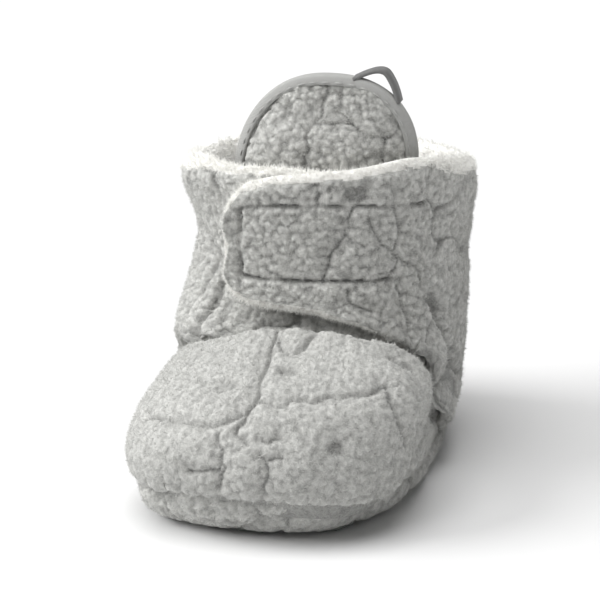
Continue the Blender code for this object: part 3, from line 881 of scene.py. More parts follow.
class Mesh:
    """Points and faces of one piece, gathered grid by grid."""

    def __init__(self) -> None:
        """Start with nothing."""
        self.points: list[Array] = []
        self.lifts: list[Array] = []
        self.faces: list[Array] = []
        self.places: list[Array] = []
        self.sides: list[Array] = []
        self.smooth: list[Array] = []
        self.count = 0

    def add_points(self, points: Array, lift: Array | float = 0.5) -> Array:
        """Add points.

        Args:
            points: Points in millimetres, with coordinates last.
            lift: Share of the pile's lightness at each point: greyer base fabric in its channels, with
                painted shade between curls, in creases and along hems and seams.

        Returns:
            The points' numbers, in the same layout.
        """
        shape = points.shape[:-1]
        size = int(np.prod(shape))
        numbers = self.count + np.arange(size).reshape(shape)
        self.points.append(points.reshape(-1, 3))
        self.lifts.append(np.broadcast_to(lift, shape).reshape(-1))
        self.count += size
        return numbers

    def add_faces(
        self, corners: Array, side: Cloth | Array = Cloth.OUTSIDE, places: Array | None = None,
        smooth: bool = True,
    ) -> None:
        """Add faces of one count of corners.

        Args:
            corners: Numbers of the corners, a row for each face.
            side: Cloth of the faces.
            places: Places of the corners in the baking map.
            smooth: Whether they shade into each other.
        """
        if isinstance(side, Cloth):
            side = np.full(len(corners), side.value)
        self.faces.append(corners)
        self.sides.append(side)
        self.places.append(np.zeros((*corners.shape, 2)) if places is None else places)
        self.smooth.append(np.full(len(corners), smooth))

    def add_grid(
        self, numbers: Array, side: Cloth | Array = Cloth.OUTSIDE, patch: Patch = FACE_PATCH,
        back: bool = False,
    ) -> None:
        """Add the faces of a grid, turned over where it is the back of a sheet.

        Args:
            numbers: Numbers of the grid's points.
            side: Cloth of the faces.
            patch: Its part of the baking map.
            back: Whether it is a back.
        """
        rows, columns = numbers.shape
        v, u = np.meshgrid(np.linspace(0.0, 1.0, rows), np.linspace(0.0, 1.0, columns), indexing="ij")
        places = patch.at(u, v)
        block = (slice(None, -1), slice(1, None))
        picks = ((0, 0), (1, 0), (1, 1), (0, 1)) if back else ((0, 0), (0, 1), (1, 1), (1, 0))
        corners = np.stack([numbers[block[i], block[j]] for i, j in picks], axis=-1)
        spots = np.stack([places[block[i], block[j]] for i, j in picks], axis=2)
        if not isinstance(side, Cloth):
            side = side.reshape(-1)
        self.add_faces(corners.reshape(-1, 4), side, spots.reshape(-1, 4, 2))

    def add_band(self, first: Array, second: Array, side: Cloth, patch: Patch, smooth: bool = True) -> None:
        """Join two lines of points of unlike counts with a band of triangles.

        Args:
            first: Numbers of one line's points.
            second: Numbers of the other's.
            side: Cloth of the faces.
            patch: Its part of the baking map.
            smooth: Whether they shade into each other.
        """
        n = len(first) - 1
        m = len(second) - 1
        both = np.concatenate([first, second])
        u = np.concatenate([np.arange(n + 1) / n, np.arange(m + 1) / m])
        v = np.repeat([0.0, 1.0], (n + 1, m + 1))
        ahead = np.argsort(np.delete(u, [0, n + 1]), kind="stable") < n
        a = np.cumsum(ahead) - ahead
        b = n + 1 + np.cumsum(~ahead) - ~ahead
        picks = np.where(ahead, (a + 1, a, b), (a, b, b + 1)).T
        self.add_faces(both[picks], side, patch.at(u[picks], v[picks]), smooth)

    def add_rim(self, outer: Array, inner: Array, cloths: Sequence[Cloth], cut_ends: bool = False) -> None:
        """Close a sheet along the edges of its two grids.

        Args:
            outer: Numbers of the outside grid.
            inner: Numbers of the inside grid.
            cloths: Cloth of the lower edge, last column, upper edge and first column.
            cut_ends: Whether the first and last columns end in flat cuts.
        """
        edges = zip(grid_sides(outer), grid_sides(inner), cloths)
        for k, (a, b, cloth) in enumerate(edges):
            self.add_band(a, b, cloth, RIM_PATCHES[k], smooth=not (cut_ends and k % 2))

    def add_ladder(self, loop: Array, patch: Patch, back: bool = False) -> None:
        """Fill a long loop with rungs between its two sides.

        Args:
            loop: Numbers of the loop's points.
            patch: Its part of the baking map.
            back: Whether it is turned over.
        """
        half = len(loop) // 2
        there = loop[:half + 1]
        home = np.concatenate([loop[:1], loop[:half - 1:-1]])
        rungs = np.stack([there[:-1], there[1:], home[1:], home[:-1]], axis=-1)
        u = np.arange(half) / half
        ahead = u + 1 / half
        places = patch.at(np.stack([u, ahead, ahead, u], axis=-1), np.array([0.0, 0.0, 1.0, 1.0]))
        picks = (([0], [0, 1, 2]), (np.arange(1, half - 1), [0, 1, 2, 3]), ([half - 1], [0, 1, 3]))
        for rows, corners in picks:
            order = corners[::-1] if back else corners
            self.add_faces(rungs[rows][:, order], places=places[rows][:, order])

    def turned_out(self, points: Array) -> bool:
        """Whether the faces look out of the closed form.

        Args:
            points: All points of the piece.

        Returns:
            True where they do.
        """
        volume = 0.0
        for face in self.faces:
            for k in range(1, face.shape[1] - 1):
                a, b, c = points[face[:, 0]], points[face[:, k]], points[face[:, k + 1]]
                volume += float(np.einsum("ij,ij->", a, np.cross(b, c)))
        return volume >= 0.0

    def build(self, name: str, finishes: Sequence[Finish], mapped: bool = False) -> Piece:
        """Make the piece.

        Args:
            name: The piece's name.
            finishes: A finish for each cloth, in order.
            mapped: Whether it brings its own baking map.

        Returns:
            The new object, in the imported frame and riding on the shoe.
        """
        points = (np.concatenate(self.points) + SHIFT) * MM
        order = 1 if self.turned_out(points) else -1
        corners = np.concatenate([f[:, ::order].reshape(-1) for f in self.faces])
        sizes = np.concatenate([np.full(len(f), f.shape[1]) for f in self.faces])
        mesh = bpy.data.meshes.new(name)
        mesh.vertices.add(len(points))
        mesh.loops.add(len(corners))
        mesh.polygons.add(len(sizes))
        mesh.vertices.foreach_set("co", points.astype(np.float32).ravel())
        mesh.loops.foreach_set("vertex_index", corners.astype(np.int32))
        mesh.polygons.foreach_set("loop_start", (np.cumsum(sizes) - sizes).astype(np.int32))
        mesh.polygons.foreach_set("material_index", np.concatenate(self.sides).astype(np.int32))
        mesh.polygons.foreach_set("use_smooth", np.concatenate(self.smooth))
        mesh.update(calc_edges=True)
        lift = mesh.attributes.new("pile_lift", "FLOAT", "POINT")
        lift.data.foreach_set("value", np.concatenate(self.lifts).astype(np.float32))
        if mapped:
            places = np.concatenate([p[:, ::order].reshape(-1, 2) for p in self.places])
            mesh.uv_layers.new(name=BAKE_MAP).data.foreach_set("uv", places.astype(np.float32).ravel())
        for finish in finishes:
            mesh.materials.append(finish.material())
        piece = bpy.data.objects.new(name, mesh)
        bpy.context.scene.collection.objects.link(piece)
        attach(piece, BODY)
        LOG.info("%s: %d triangles", name, int((sizes - 2).sum()))
        return piece


def closed(rings: Array) -> Array:
    """Rings with their first point again at the end, for a grid without a gap."""
    return np.concatenate([rings, rings[:, :1]], axis=1)


def grid_sides(numbers: Array) -> tuple[Array, Array, Array, Array]:
    """The four edges of a grid, one after the other."""
    return numbers[0], numbers[:, -1], numbers[-1, ::-1], numbers[::-1, 0]


RIM_TURN = 80.0         # degrees of a rounded rim that its rows cover
RIM_ROWS = 8


def rim_rows(height: float, step: float, radius: float) -> Array:
    """Distances from the lower edge up to the upper one, close together on both rounded rims.

    Args:
        height: Distance between the edges.
        step: Distance between rows.
        radius: Radius of the rims.

    Returns:
        The distances.
    """
    turn = np.radians(np.linspace(RIM_TURN, 0.0, RIM_ROWS))
    start = radius * (1 - np.sin(turn))
    count = max(int((height - 2 * radius) / step), 4)
    middle = np.linspace(radius, height - radius, count + 2)[1:-1]
    return np.concatenate([start, middle, height - start[::-1]])


def lined(where: Array) -> Array:
    """Cloth of a grid's faces, the lining where a mask of its points says so."""
    return np.where(where[:-1, :-1], Cloth.LINING.value, Cloth.OUTSIDE.value)


def grid_normal(face: Array) -> Array:
    """Outward directions of a grid, from the grid itself."""
    return unit(np.cross(np.gradient(face, axis=1), np.gradient(face, axis=0)))


def lay(
    points: Array, normals: Array, pile: EmbossedPile | PlushPile, weight: Array | float = 1.0,
    **drawn: Array | float,
) -> tuple[Array, Array]:
    """Raise a pile on a surface.

    Args:
        points: Points of the surface.
        normals: Outward directions there.
        pile: The pile to raise.
        weight: Share of its height.
        **drawn: Listed channels, for an embossed pile.

    Returns:
        The raised points and the pile's share for each.
    """
    height, share = pile.lift(points, **drawn)
    return points + normals * (height * weight)[..., None], share


TOE_ROLL = 6.2          # how far the sole rolls up over the toe
ROLL_REACH = (8.0, 44.0)    # how far ahead of the middle the roll starts and is full


def toe_share(points: Array) -> Array:
    """Share of the toe's roll at points, 1 round the tip."""
    return ease(-points[..., 1], *ROLL_REACH)


@dataclass(frozen=True)
class SeamGather:
    """Tuck and small pleats where the upper is gathered into the sole seam."""

    tuck: float = 2.6
    pleat: float = 1.2
    pleat_every: float = 5.4
    pleat_height: float = 5.5
    pleat_drift: float = 1.4
    drift_length: float = 9.0
    # painted shade along the sole seam: the share of lightness it takes, and the height over which it fades
    pressed: float = 0.8
    seam_shade_height: float = 1.1

    def inward(self, rise: Array, run: Array) -> Array:
        """How far the cloth is drawn in.

        Args:
            rise: Distance up from the seam.
            run: Distance along the seam.

        Returns:
            Depths in millimetres.
        """
        start = np.clip(rise / self.tuck, 0.0, 1.0)
        fold = self.tuck * (1 - np.sqrt(1 - (1 - start) ** 2))
        return fold + self.pleats(rise, run) * start

    def shade(self, rise: Array) -> Array:
        """Share of the pile's lightness left near the seam, darkened there as painted shade of the seam's
        groove.
        """
        return 1 - self.pressed * np.exp(-(rise / self.seam_shade_height) ** 2)

    def pleats(self, rise: Array, run: Array) -> Array:
        """Depth of the small pleats alone."""
        phase = 2 * np.pi * run / self.pleat_every + self.pleat_drift * np.sin(run / self.drift_length)
        return self.pleat * (0.5 + 0.5 * np.sin(phase)) ** 2 * np.exp(-rise / self.pleat_height)


@dataclass(frozen=True)
class FuzzFinish(Finish):
    """Loose fibres of one plain colour."""

    colour: Colour
    roughness: float = 0.95
    specular: float = 0.2
    sheen: float = 0.2

    def dress(self, graph: Graph) -> None:
        """Set the shader's inputs.

        Args:
            graph: Graph of the material.
        """
        graph.feed(
            graph.shader, Base_Color=rgba(self.colour), Roughness=self.roughness,
            Specular_IOR_Level=self.specular, Sheen_Weight=self.sheen,
        )


@dataclass(frozen=True)
class Fuzz:
    """Loose fibres over a pile, each a thin closed spike."""

    name: str
    finish: FuzzFinish
    count: int
    length: float = 1.0
    radius: float = 0.075
    lean: float = 1.6
    seed: int = 5
    root_depth: float = 0.15
    shortest: float = 0.45
    spread: float = 0.75

    def build(self, face: Array, where: Array) -> Piece:
        """The fibres.

        Args:
            face: Grid of points that they stand on.
            where: Which of the grid's points bear fibres.

        Returns:
            The new object.
        """
        dice = np.random.default_rng(self.seed)
        rows, columns = np.nonzero(where[:-1, :-1])
        pick = dice.integers(0, len(rows), self.count)
        i = rows[pick]
        j = columns[pick]
        a, b = dice.random((2, self.count, 1))
        low = face[i, j] * (1 - a) + face[i, j + 1] * a
        high = face[i + 1, j] * (1 - a) + face[i + 1, j + 1] * a
        root = low * (1 - b) + high * b
        up = grid_normal(face)[i, j]
        sway = unit(dice.normal(size=(self.count, 3)))
        way = unit(up + sway * self.lean * dice.random((self.count, 1)))
        side = unit(np.cross(way, sway + 0.01))
        ring = spokes(3, side, np.cross(way, side))
        base = (root - way * self.root_depth)[:, None] + ring * self.radius
        grown = self.shortest + self.spread * dice.random((self.count, 1))
        tip = root + way * self.length * grown
        mesh = Mesh()
        numbers = mesh.add_points(np.concatenate([base, tip[:, None]], axis=1))
        corners = numbers[:, [0, 1, 3, 1, 2, 3, 2, 0, 3, 0, 2, 1]].reshape(-1, 3)
        mesh.add_faces(corners, smooth=False)
        return mesh.build(self.name, (self.finish,))


BARE = 0.25             # share of the pile under which no loose fibre stands
GREY_FUZZ = FuzzFinish("fleece_fibre", (0.60, 0.60, 0.58))
WHITE_FUZZ = FuzzFinish("plush_fibre", (0.95, 0.945, 0.915))


class Layout(NamedTuple):
    """Grid over a strip of the upper."""

    angle: Array
    level: Array
    thick: Array        # share of the wall left by rounded rims
    rise: Array         # distance up from the lower edge
    drop: Array         # distance down from the upper edge
    seam: Array         # share by which the lower edge is sewn to the sole

    @property
    def at(self) -> tuple[Array, Array]:
        """Angles and levels of the grid's points."""
        return self.angle, self.level


class Tuck(NamedTuple):
    """Where the outer side's wing slips in under the flap."""

    low: float = 34.0
    high: float = 45.0
    start: float = 258.0
    end: float = 322.0
    lift: float = 6.5
    fade: float = 345.0


@dataclass
class Wrap:
    """Quarters, heel and outer wing in one strip from the flap's root round the heel to the wing's end."""

    root: float = 54.0
    wing_end: float = 36.0
    height: float = 74.0
    step: float = 0.56
    lining_step: float = 1.35
    white_edge: float = 2.4
    root_white: float = 0.6
    root_turn: Reach = (56.0, 75.0)
    wing_loss: float = 0.5
    wing_turn: Reach = (290.0, 325.0)
    ragged: float = 0.7
    ragged_size: float = 1.8
    wing_drop: float = 0.2
    drop_turn: Reach = (290.0, 335.0)
    seam_turn: Reach = (86.0, 78.0)
    inner_raise: float = 0.3
    inner_hem: Span = Span(15.0, 50.0, 74.0, 96.0)
    outer_raise: float = 0.35
    outer_hem: Span = Span(40.0, 62.0, 84.0, 98.0)
    roll: float = 2.6
    roll_turn: Reach = (58.0, 85.0)
    roll_height: float = 4.0
    roll_fade: float = 6.0
    roll_out: float = 0.9
    out_drop: float = 5.0
    out_half: float = 3.5
    flat_roll: float = 0.75
    flat_turn: Reach = (300.0, 335.0)
    lean_in: float = -0.9
    lean_fade: float = 6.0
    waist: float = 2.2
    waist_level: float = 5.5
    waist_half: float = 0.75
    waist_span: Span = Span(245.0, 285.0, 315.0, 345.0)
    label_level: float = 6.28
    label_turn: Reach = (12.0, 9.5)
    label_half: Reach = (0.5, 0.37)
    label_sink: float = 0.5
    gather: SeamGather = SeamGather()
    tuck: Tuck = Tuck()
    wing_edge: Line = (
        (0.0, 3.7), (30.0, 3.55), (52.0, 3.05), (66.0, 2.7), (78.0, 2.15), (90.0, 1.2), (100.0, 0.0),
    )
    outer_crease: Line = ((321.0, 4.95), (318.5, 4.4), (318.0, 3.85), (321.0, 3.4))
    inner_crease: Line = ((62.0, 4.5), (73.0, 3.5), (92.0, 2.4), (104.0, 1.6))
    crease_points: int = 12
    crease_width: float = 1.6
    crease_depth: float = 3.3
    crease_fill: float = 0.4
    crease_shade: float = 0.95
    shade_width: float = 1.5
    hem_shade: float = 0.8
    hem_height: float = 1.8
    outer_front: Reach = (62.0, 44.0)
    inner_front: Reach = (96.0, 82.0)
    seam_sink: float = 0.7
    sink_height: float = 2.0
    turned_hem: float = 6.0
    covered: Edge = Edge(335.0, 4.6)
    covered_drop: float = 14.0
    lining_shown: float = 25.0

    def lower_level(self, angle: Array) -> Array:
        """Level of the lower edge, on the sole seam or over the vamp.

        Args:
            angle: Angles.

        Returns:
            Levels, counted in rings.
        """
        side = np.where(angle > 180.0, angle - 360.0, angle)
        turn = np.abs(side)
        raised = self.inner_raise * self.inner_hem.share(angle)
        raised = raised + self.outer_raise * self.outer_hem.share(-side)
        return np.where(turn < self.wing_edge[-1][0], edge_level(self.wing_edge, turn) + raised, 0.0)

    def tucked(self, angle: Array, level: Array) -> Array:
        """Depth by which the outer side's wing slips in under the flap and draws in at its waist.

        Args:
            angle: Angles.
            level: Levels.

        Returns:
            Depths in millimetres.
        """
        height = WRAP_FORM.point(angle, level)[..., 2]
        turn = ease(angle, self.tuck.start, self.tuck.end)
        lifted = self.tuck.lift * ease(angle, self.tuck.fade, self.tuck.end)
        pinch = self.waist * np.exp(-((level - self.waist_level) / self.waist_half) ** 2)
        pinch = pinch * self.waist_span.share(angle)
        return LAYER_STEP * turn * ease(height - lifted, self.tuck.low, self.tuck.high) + pinch

    def layout(self, step: float) -> Layout:
        """Grid over the strip with points a step apart.

        Args:
            step: Distance between points.

        Returns:
            The grid.
        """
        track = np.linspace(self.root, 360.0 + self.wing_end, TRACK_POINTS)
        lower = WRAP_FORM.point(track, self.lower_level(track))
        upper = WRAP_FORM.point(track, np.full(len(track), COLLAR))
        columns = int(run_length(upper)[-1] / step)
        low_angle = even_angles(track, lower, columns)
        high_angle = even_angles(track, upper, columns)
        share = (rim_rows(self.height, step, WALL / 2) / self.height)[:, None]
        angle = low_angle * (1 - share) + high_angle * share
        top = COLLAR - self.wing_drop * ease(high_angle, *self.drop_turn)
        level = self.lower_level(low_angle) * (1 - share) + top * share
        seam = ease(np.abs(low_angle - 180.0), *self.seam_turn)
        face = WRAP_FORM.point(angle, level)
        height = norm(face[-1] - face[0])
        rise = share * height
        drop = (1 - share) * height
        thick = seam + (1 - seam) * rounding(rise, WALL / 2)
        return Layout(angle, level, thick, rise, drop, np.broadcast_to(seam, angle.shape))

    def depths(self, grid: Layout) -> tuple[Array, Array]:
        """Depths of the outside and of the lining, with the collar's thick roll.

        Args:
            grid: Grid over the strip.

        Returns:
            Depths of the two faces below the last's surface.
        """
        free = ease(grid.angle, *self.roll_turn) * (1 - self.flat_roll * ease(grid.angle, *self.flat_turn))
        top = WALL + self.roll * free
        below = np.maximum(grid.drop - self.roll_height, 0.0)
        wall = WALL + self.roll * free * np.exp(-(below / self.roll_fade) ** 2)
        round_off = top / 2 * (1 - rounding(grid.drop, top / 2)) + WALL / 2 * (1 - grid.thick)
        lean = self.lean_in * (1 - grid.seam) * np.exp(-grid.rise / self.lean_fade)
        start = self.tucked(*grid.at) + lean
        puff = self.roll_out * free * np.exp(-((grid.drop - self.out_drop) / self.out_half) ** 2)
        return start + round_off - puff, start + wall - round_off

    def creased(self, face: Array, shell: Array, normal: Array) -> Array:
        """A face with the creases of both sides pressed in.

        Args:
            face: Points of the outside or of the lining.
            shell: Points of the outside over them.
            normal: Outward directions there.

        Returns:
            The moved points.
        """
        for path in self.crease_paths():
            face = face - normal * (self.crease_depth * trough(shell, path, self.crease_width))[..., None]
        return face

    def crease_paths(self) -> list[Array]:
        """Lines along the bottoms of the creases.

        Returns:
            Points of the outer crease and of the inner one.
        """
        paths = []
        for crease in (self.outer_crease, self.inner_crease):
            angle, level = through(crease, self.crease_points).T
            depth = self.tucked(angle, level) + self.crease_fill * self.lean_in
            paths.append(WRAP_FORM.layer(angle, level, depth))
        return paths

    def shade(self, grid: Layout, shell: Array) -> Array:
        """Share of the pile's lightness left in the creases, at the sole seam and along the hem.

        Args:
            grid: Grid over the piece.
            shell: Points of the outside.

        Returns:
            Shares from 0 to 1.
        """
        left = 1 - grid.seam * (1 - self.gather.shade(grid.rise))
        front = ease(np.abs(grid.angle - 360.0), *self.outer_front) + ease(grid.angle, *self.inner_front)
        hem = self.hem_shade * (1 - grid.seam) * front * np.exp(-(grid.rise / self.hem_height) ** 2)
        left = left * (1 - hem)
        for path in self.crease_paths():
            left = left * (1 - self.crease_shade * trough(shell, path, self.shade_width))
        return left

    def build(self) -> list[Piece]:
        """The strip with its pile outside and its lining inside, and its loose fibres.

        Returns:
            The strip and its fibres.
        """
        mesh = Mesh()
        grid = self.layout(self.step)
        normal = WRAP_FORM.normal(*grid.at)
        face = WRAP_FORM.layer(*grid.at, self.depths(grid)[0])
        pulled = grid.seam * self.gather.inward(grid.rise, run_length(face[0]))
        face = face - normal * pulled[..., None]
        dim = self.shade(grid, face)
        face = self.creased(face, face, normal)
        face[..., 2] -= self.seam_sink * grid.seam * np.exp(-(grid.rise / self.sink_height) ** 2)
        bent = grid_normal(face)
        bed = ease(np.abs(grid.angle - 180.0), *self.label_turn)
        bed = bed * ease(np.abs(grid.level - self.label_level), *self.label_half)
        grey, pile = lay(face, bent, FLEECE_PILE, 1 - bed)
        pile = pile * dim
        grey = grey - bent * (self.label_sink * bed)[..., None]
        white, white_share = lay(face, bent, LINING_PILE)
        edge = self.white_edge * (self.root_white + (1 - self.root_white) * ease(grid.angle, *self.root_turn))
        edge = edge * (1 - self.wing_loss * ease(grid.angle, *self.wing_turn))
        rim = grid.drop < edge + self.ragged * soft_noise(face, self.ragged_size, 61)
        raised = np.where(rim[..., None], white, grey)
        outer = mesh.add_points(raised, np.where(rim, white_share, pile))
        mesh.add_grid(outer, lined(rim))
        back = self.layout(self.lining_step)
        over, under = self.depths(back)
        inside = WRAP_FORM.layer(*back.at, under)
        shell = WRAP_FORM.layer(*back.at, over)
        inside = self.creased(inside, shell, WRAP_FORM.normal(*back.at))
        soft, share = lay(inside, -grid_normal(inside), LINING_PILE)
        inner = mesh.add_points(soft, share)
        hem = (back.rise < self.turned_hem) & (back.seam < 0.5)
        mesh.add_grid(inner, lined(~hem), BACK_PATCH, back=True)
        mesh.add_rim(outer, inner, WHITE_TOP, cut_ends=True)
        hidden = (grid.angle > self.covered.angle) & (grid.level > self.covered.level)
        furry = ~rim & ~(hidden & (grid.drop > self.covered_drop)) & (bed < 0.5) & (pile > BARE)
        shown = back.drop < self.lining_shown
        return [
            mesh.build("wrap", (FLEECE, PLUSH), mapped=True),
            Fuzz("wrap_fibres", GREY_FUZZ, 32000).build(raised, furry),
            Fuzz("collar_fibres", WHITE_FUZZ, 9000, 1.5, lean=3.0).build(raised, grid.drop < edge + 0.3),
            Fuzz("lining_fibres", WHITE_FUZZ, 10000, 1.8, 0.1, 2.5, 7).build(soft[:, ::-1], shown),
        ]


@dataclass
class Vamp:
    """Puffy toe piece from the sole seam to the throat."""

    wrap: Wrap
    half_turn: float = 125.0
    girth_level: float = 1.6
    length: float = 62.0
    shown: float = 0.86
    step: float = 0.5
    lining_step: float = 1.5
    feather: float = 12.0
    feather_least: float = 0.2
    seam_sink: float = 0.9
    sink_height: float = 2.0
    seam_pile: float = 0.25
    seam_pile_height: float = 3.0
    lining_weight: float = 0.6
    hem_turn: float = 96.0
    hem_drop: float = 0.05
    hem_reach: float = 8.0
    hem_width: float = 1.8
    hem_depth: float = 2.8
    hem_shade: float = 0.95
    covered: float = 1.5
    swell: Reach = (-0.5, 3.0)
    puff: float = 1.2
    puff_reach: float = 13.0
    puff_turn: Reach = (85.0, 55.0)
    crest: float = 5.3
    crest_span: Span = Span(-50.0, 5.0, 20.0, 75.0)
    shoulder: float = 7.0
    shoulder_at: Edge = Edge(64.0, 2.8)
    shoulder_span: Edge = Edge(29.0, 1.3)
    drawn_middle: float = 6.0
    drawn_turn: Reach = (82.0, 58.0)
    channels: tuple[Line, ...] = (
        ((1, 6.0), (0, 5.47), (-1, 4.77), (3, 3.94), (4, 3.15), (0, 2.55), (2, 2.22)),
        ((5, 3.22), (14, 3.14), (18, 3.21), (26, 3.16), (31, 3.21), (41, 3.06), (53, 3.0)),
        ((53, 3.0), (54, 2.52), (56, 2.15), (58, 1.78)),
        ((-41, 2.32), (-28, 2.49), (-19, 2.52), (-11, 2.53), (-3, 2.65), (1, 2.88)),
        ((-4, 2.38), (-3, 1.98), (-2, 1.53), (-3, 0.92)),
        ((7, 2.03), (9, 1.63), (7, 1.19), (8, 0.86)),
        ((-12, 1.33), (-8, 1.35), (-3, 1.47)),
        ((-1, 4.9), (7, 4.5), (15, 4.55), (18, 4.95)),
        ((8, 2.31), (14, 2.35)),
        ((9, 1.89), (13, 1.88)),
    )
    pits: tuple[Pit, ...] = (
        Pit(-11.0, 3.47, 1.2), Pit(-7.5, 3.57, 1.2), Pit(11.5, 4.0, 1.1), Pit(14.0, 4.0, 1.1),
        Pit(32.5, 2.09, 1.3), Pit(59.0, 3.65, 1.0), Pit(62.0, 3.5, 1.1), Pit(65.0, 3.38, 1.0),
    )
    gather: SeamGather = SeamGather()
    rear_edge: Line = ((0.0, 6.95), (28.0, 6.7), (50.0, 5.8), (72.0, 4.9), (95.0, 3.5), (125.0, 1.2))

    def layout(self, step: float) -> Layout:
        """Grid over the vamp with points a step apart.

        Args:
            step: Distance between points.

        Returns:
            The grid.
        """
        track = np.linspace(-self.half_turn, self.half_turn, TRACK_POINTS)
        girth = VAMP_FORM.point(track, np.full(len(track), self.girth_level))
        turn = even_angles(track, girth, int(run_length(girth)[-1] / step))
        near = np.linspace(0.0, self.shown, int(self.length * self.shown / step))
        far = np.linspace(self.shown, 1.0, int(self.length * (1 - self.shown) / (3 * step)))
        share = np.concatenate([near, far[1:]])[:, None]
        level = share * edge_level(self.rear_edge, np.abs(turn))
        angle = np.broadcast_to(turn, level.shape)
        face = VAMP_FORM.point(angle, level)
        length = norm(np.diff(face, axis=0)).sum(axis=0)
        rise = share * length
        drop = (1 - share) * length
        thick = self.feather_least + (1 - self.feather_least) * ease(drop, 0.0, self.feather)
        return Layout(angle, level, thick, rise, drop, np.ones(level.shape))

    def hem_path(self) -> tuple[Array, Array]:
        """Line on the vamp under the lower edges of the wing and the flap, and the directions ahead of it.

        Returns:
            Points of the line, and the directions at them.
        """
        turn = np.linspace(-self.hem_turn, self.hem_turn, 60)
        edge = self.wrap.lower_level(turn)
        hem = WRAP_FORM.point(turn, edge - self.hem_drop)
        reach = np.linspace(0.0, self.hem_reach, 33)
        inward = -WRAP_FORM.normal(turn, edge)
        track = hem[:, None] + inward[:, None] * reach[None, :, None]
        grid = self.layout(2.5)
        skin = VAMP_FORM.point(*grid.at).reshape(-1, 3)
        gaps = norm(track[:, :, None] - skin).min(axis=-1)
        return track[np.arange(len(turn)), gaps.argmin(axis=1)], -inward

    def bulge(self, grid: Layout, face: Array, path: Array, ahead: Array) -> Array:
        """Height by which the stuffed toe swells in front of the hems, most on its inner shoulder.

        Args:
            grid: Grid over the piece.
            face: Points of the vamp.
            path: Line under the hems.
            ahead: Directions ahead of that line.

        Returns:
            Heights in millimetres.
        """
        near = norm(face[..., None, :] - path).argmin(axis=-1)
        before = np.einsum("ijk,ijk->ij", face - path[near], ahead[near])
        crest = self.crest * self.crest_span.share(grid.angle)
        front = (self.puff + crest) * np.exp(-(before / self.puff_reach) ** 2)
        front = front * ease(np.abs(grid.angle), *self.puff_turn)
        off_angle = (grid.angle - self.shoulder_at.angle) / self.shoulder_span.angle
        off_level = (grid.level - self.shoulder_at.level) / self.shoulder_span.level
        shoulder = self.shoulder * np.exp(-off_angle ** 2 - off_level ** 2)
        return ease(before, *self.swell) * (front + shoulder)

    def build(self) -> list[Piece]:
        """The vamp with its pile outside and its lining inside, and its loose fibres.

        Returns:
            The vamp and its fibres.
        """
        mesh = Mesh()
        grid = self.layout(self.step)
        skin = VAMP_FORM.point(*grid.at)
        hem, ahead = self.hem_path()
        under = trough(skin, hem, self.hem_width)
        above = np.maximum(grid.rise - TOE_ROLL * toe_share(skin[0]), 0.0)
        pulled = self.gather.inward(above, run_length(skin[0])) + self.hem_depth * under
        pulled = pulled - self.bulge(grid, skin, hem, ahead)
        face = skin - VAMP_FORM.normal(*grid.at) * pulled[..., None]
        face[..., 2] -= self.seam_sink * np.exp(-(grid.rise / self.sink_height) ** 2)
        weight = self.seam_pile + (1 - self.seam_pile) * ease(grid.rise, 0.0, self.seam_pile_height)
        alone = ease(np.abs(grid.angle - self.drawn_middle), *self.drawn_turn)
        drawn = off_channels(VAMP_FORM, self.channels, self.pits, skin)
        raised, share = lay(face, grid_normal(face), TOE_PILE, weight, drawn=drawn, alone=alone)
        share = share * (1 - self.hem_shade * under) * self.gather.shade(above)
        outer = mesh.add_points(raised, share)
        mesh.add_grid(outer)
        back = self.layout(self.lining_step)
        lining = VAMP_FORM.point(*back.at)
        sunk = self.hem_depth * trough(lining, hem, self.hem_width)
        inside = VAMP_FORM.layer(*back.at, WALL * back.thick + sunk)
        inward = -VAMP_FORM.normal(*back.at)
        soft, soft_share = lay(inside, inward, LINING_PILE, self.lining_weight)
        inner = mesh.add_points(soft, soft_share)
        mesh.add_grid(inner, Cloth.LINING, BACK_PATCH, back=True)
        mesh.add_rim(outer, inner, GREY_RIM, cut_ends=True)
        shown = (grid.level < self.wrap.lower_level(grid.angle) + self.covered) & (share > BARE)
        return [
            mesh.build("vamp", (FLEECE, PLUSH), mapped=True),
            Fuzz("vamp_fibres", GREY_FUZZ, 26000, seed=11).build(raised, shown),
        ]


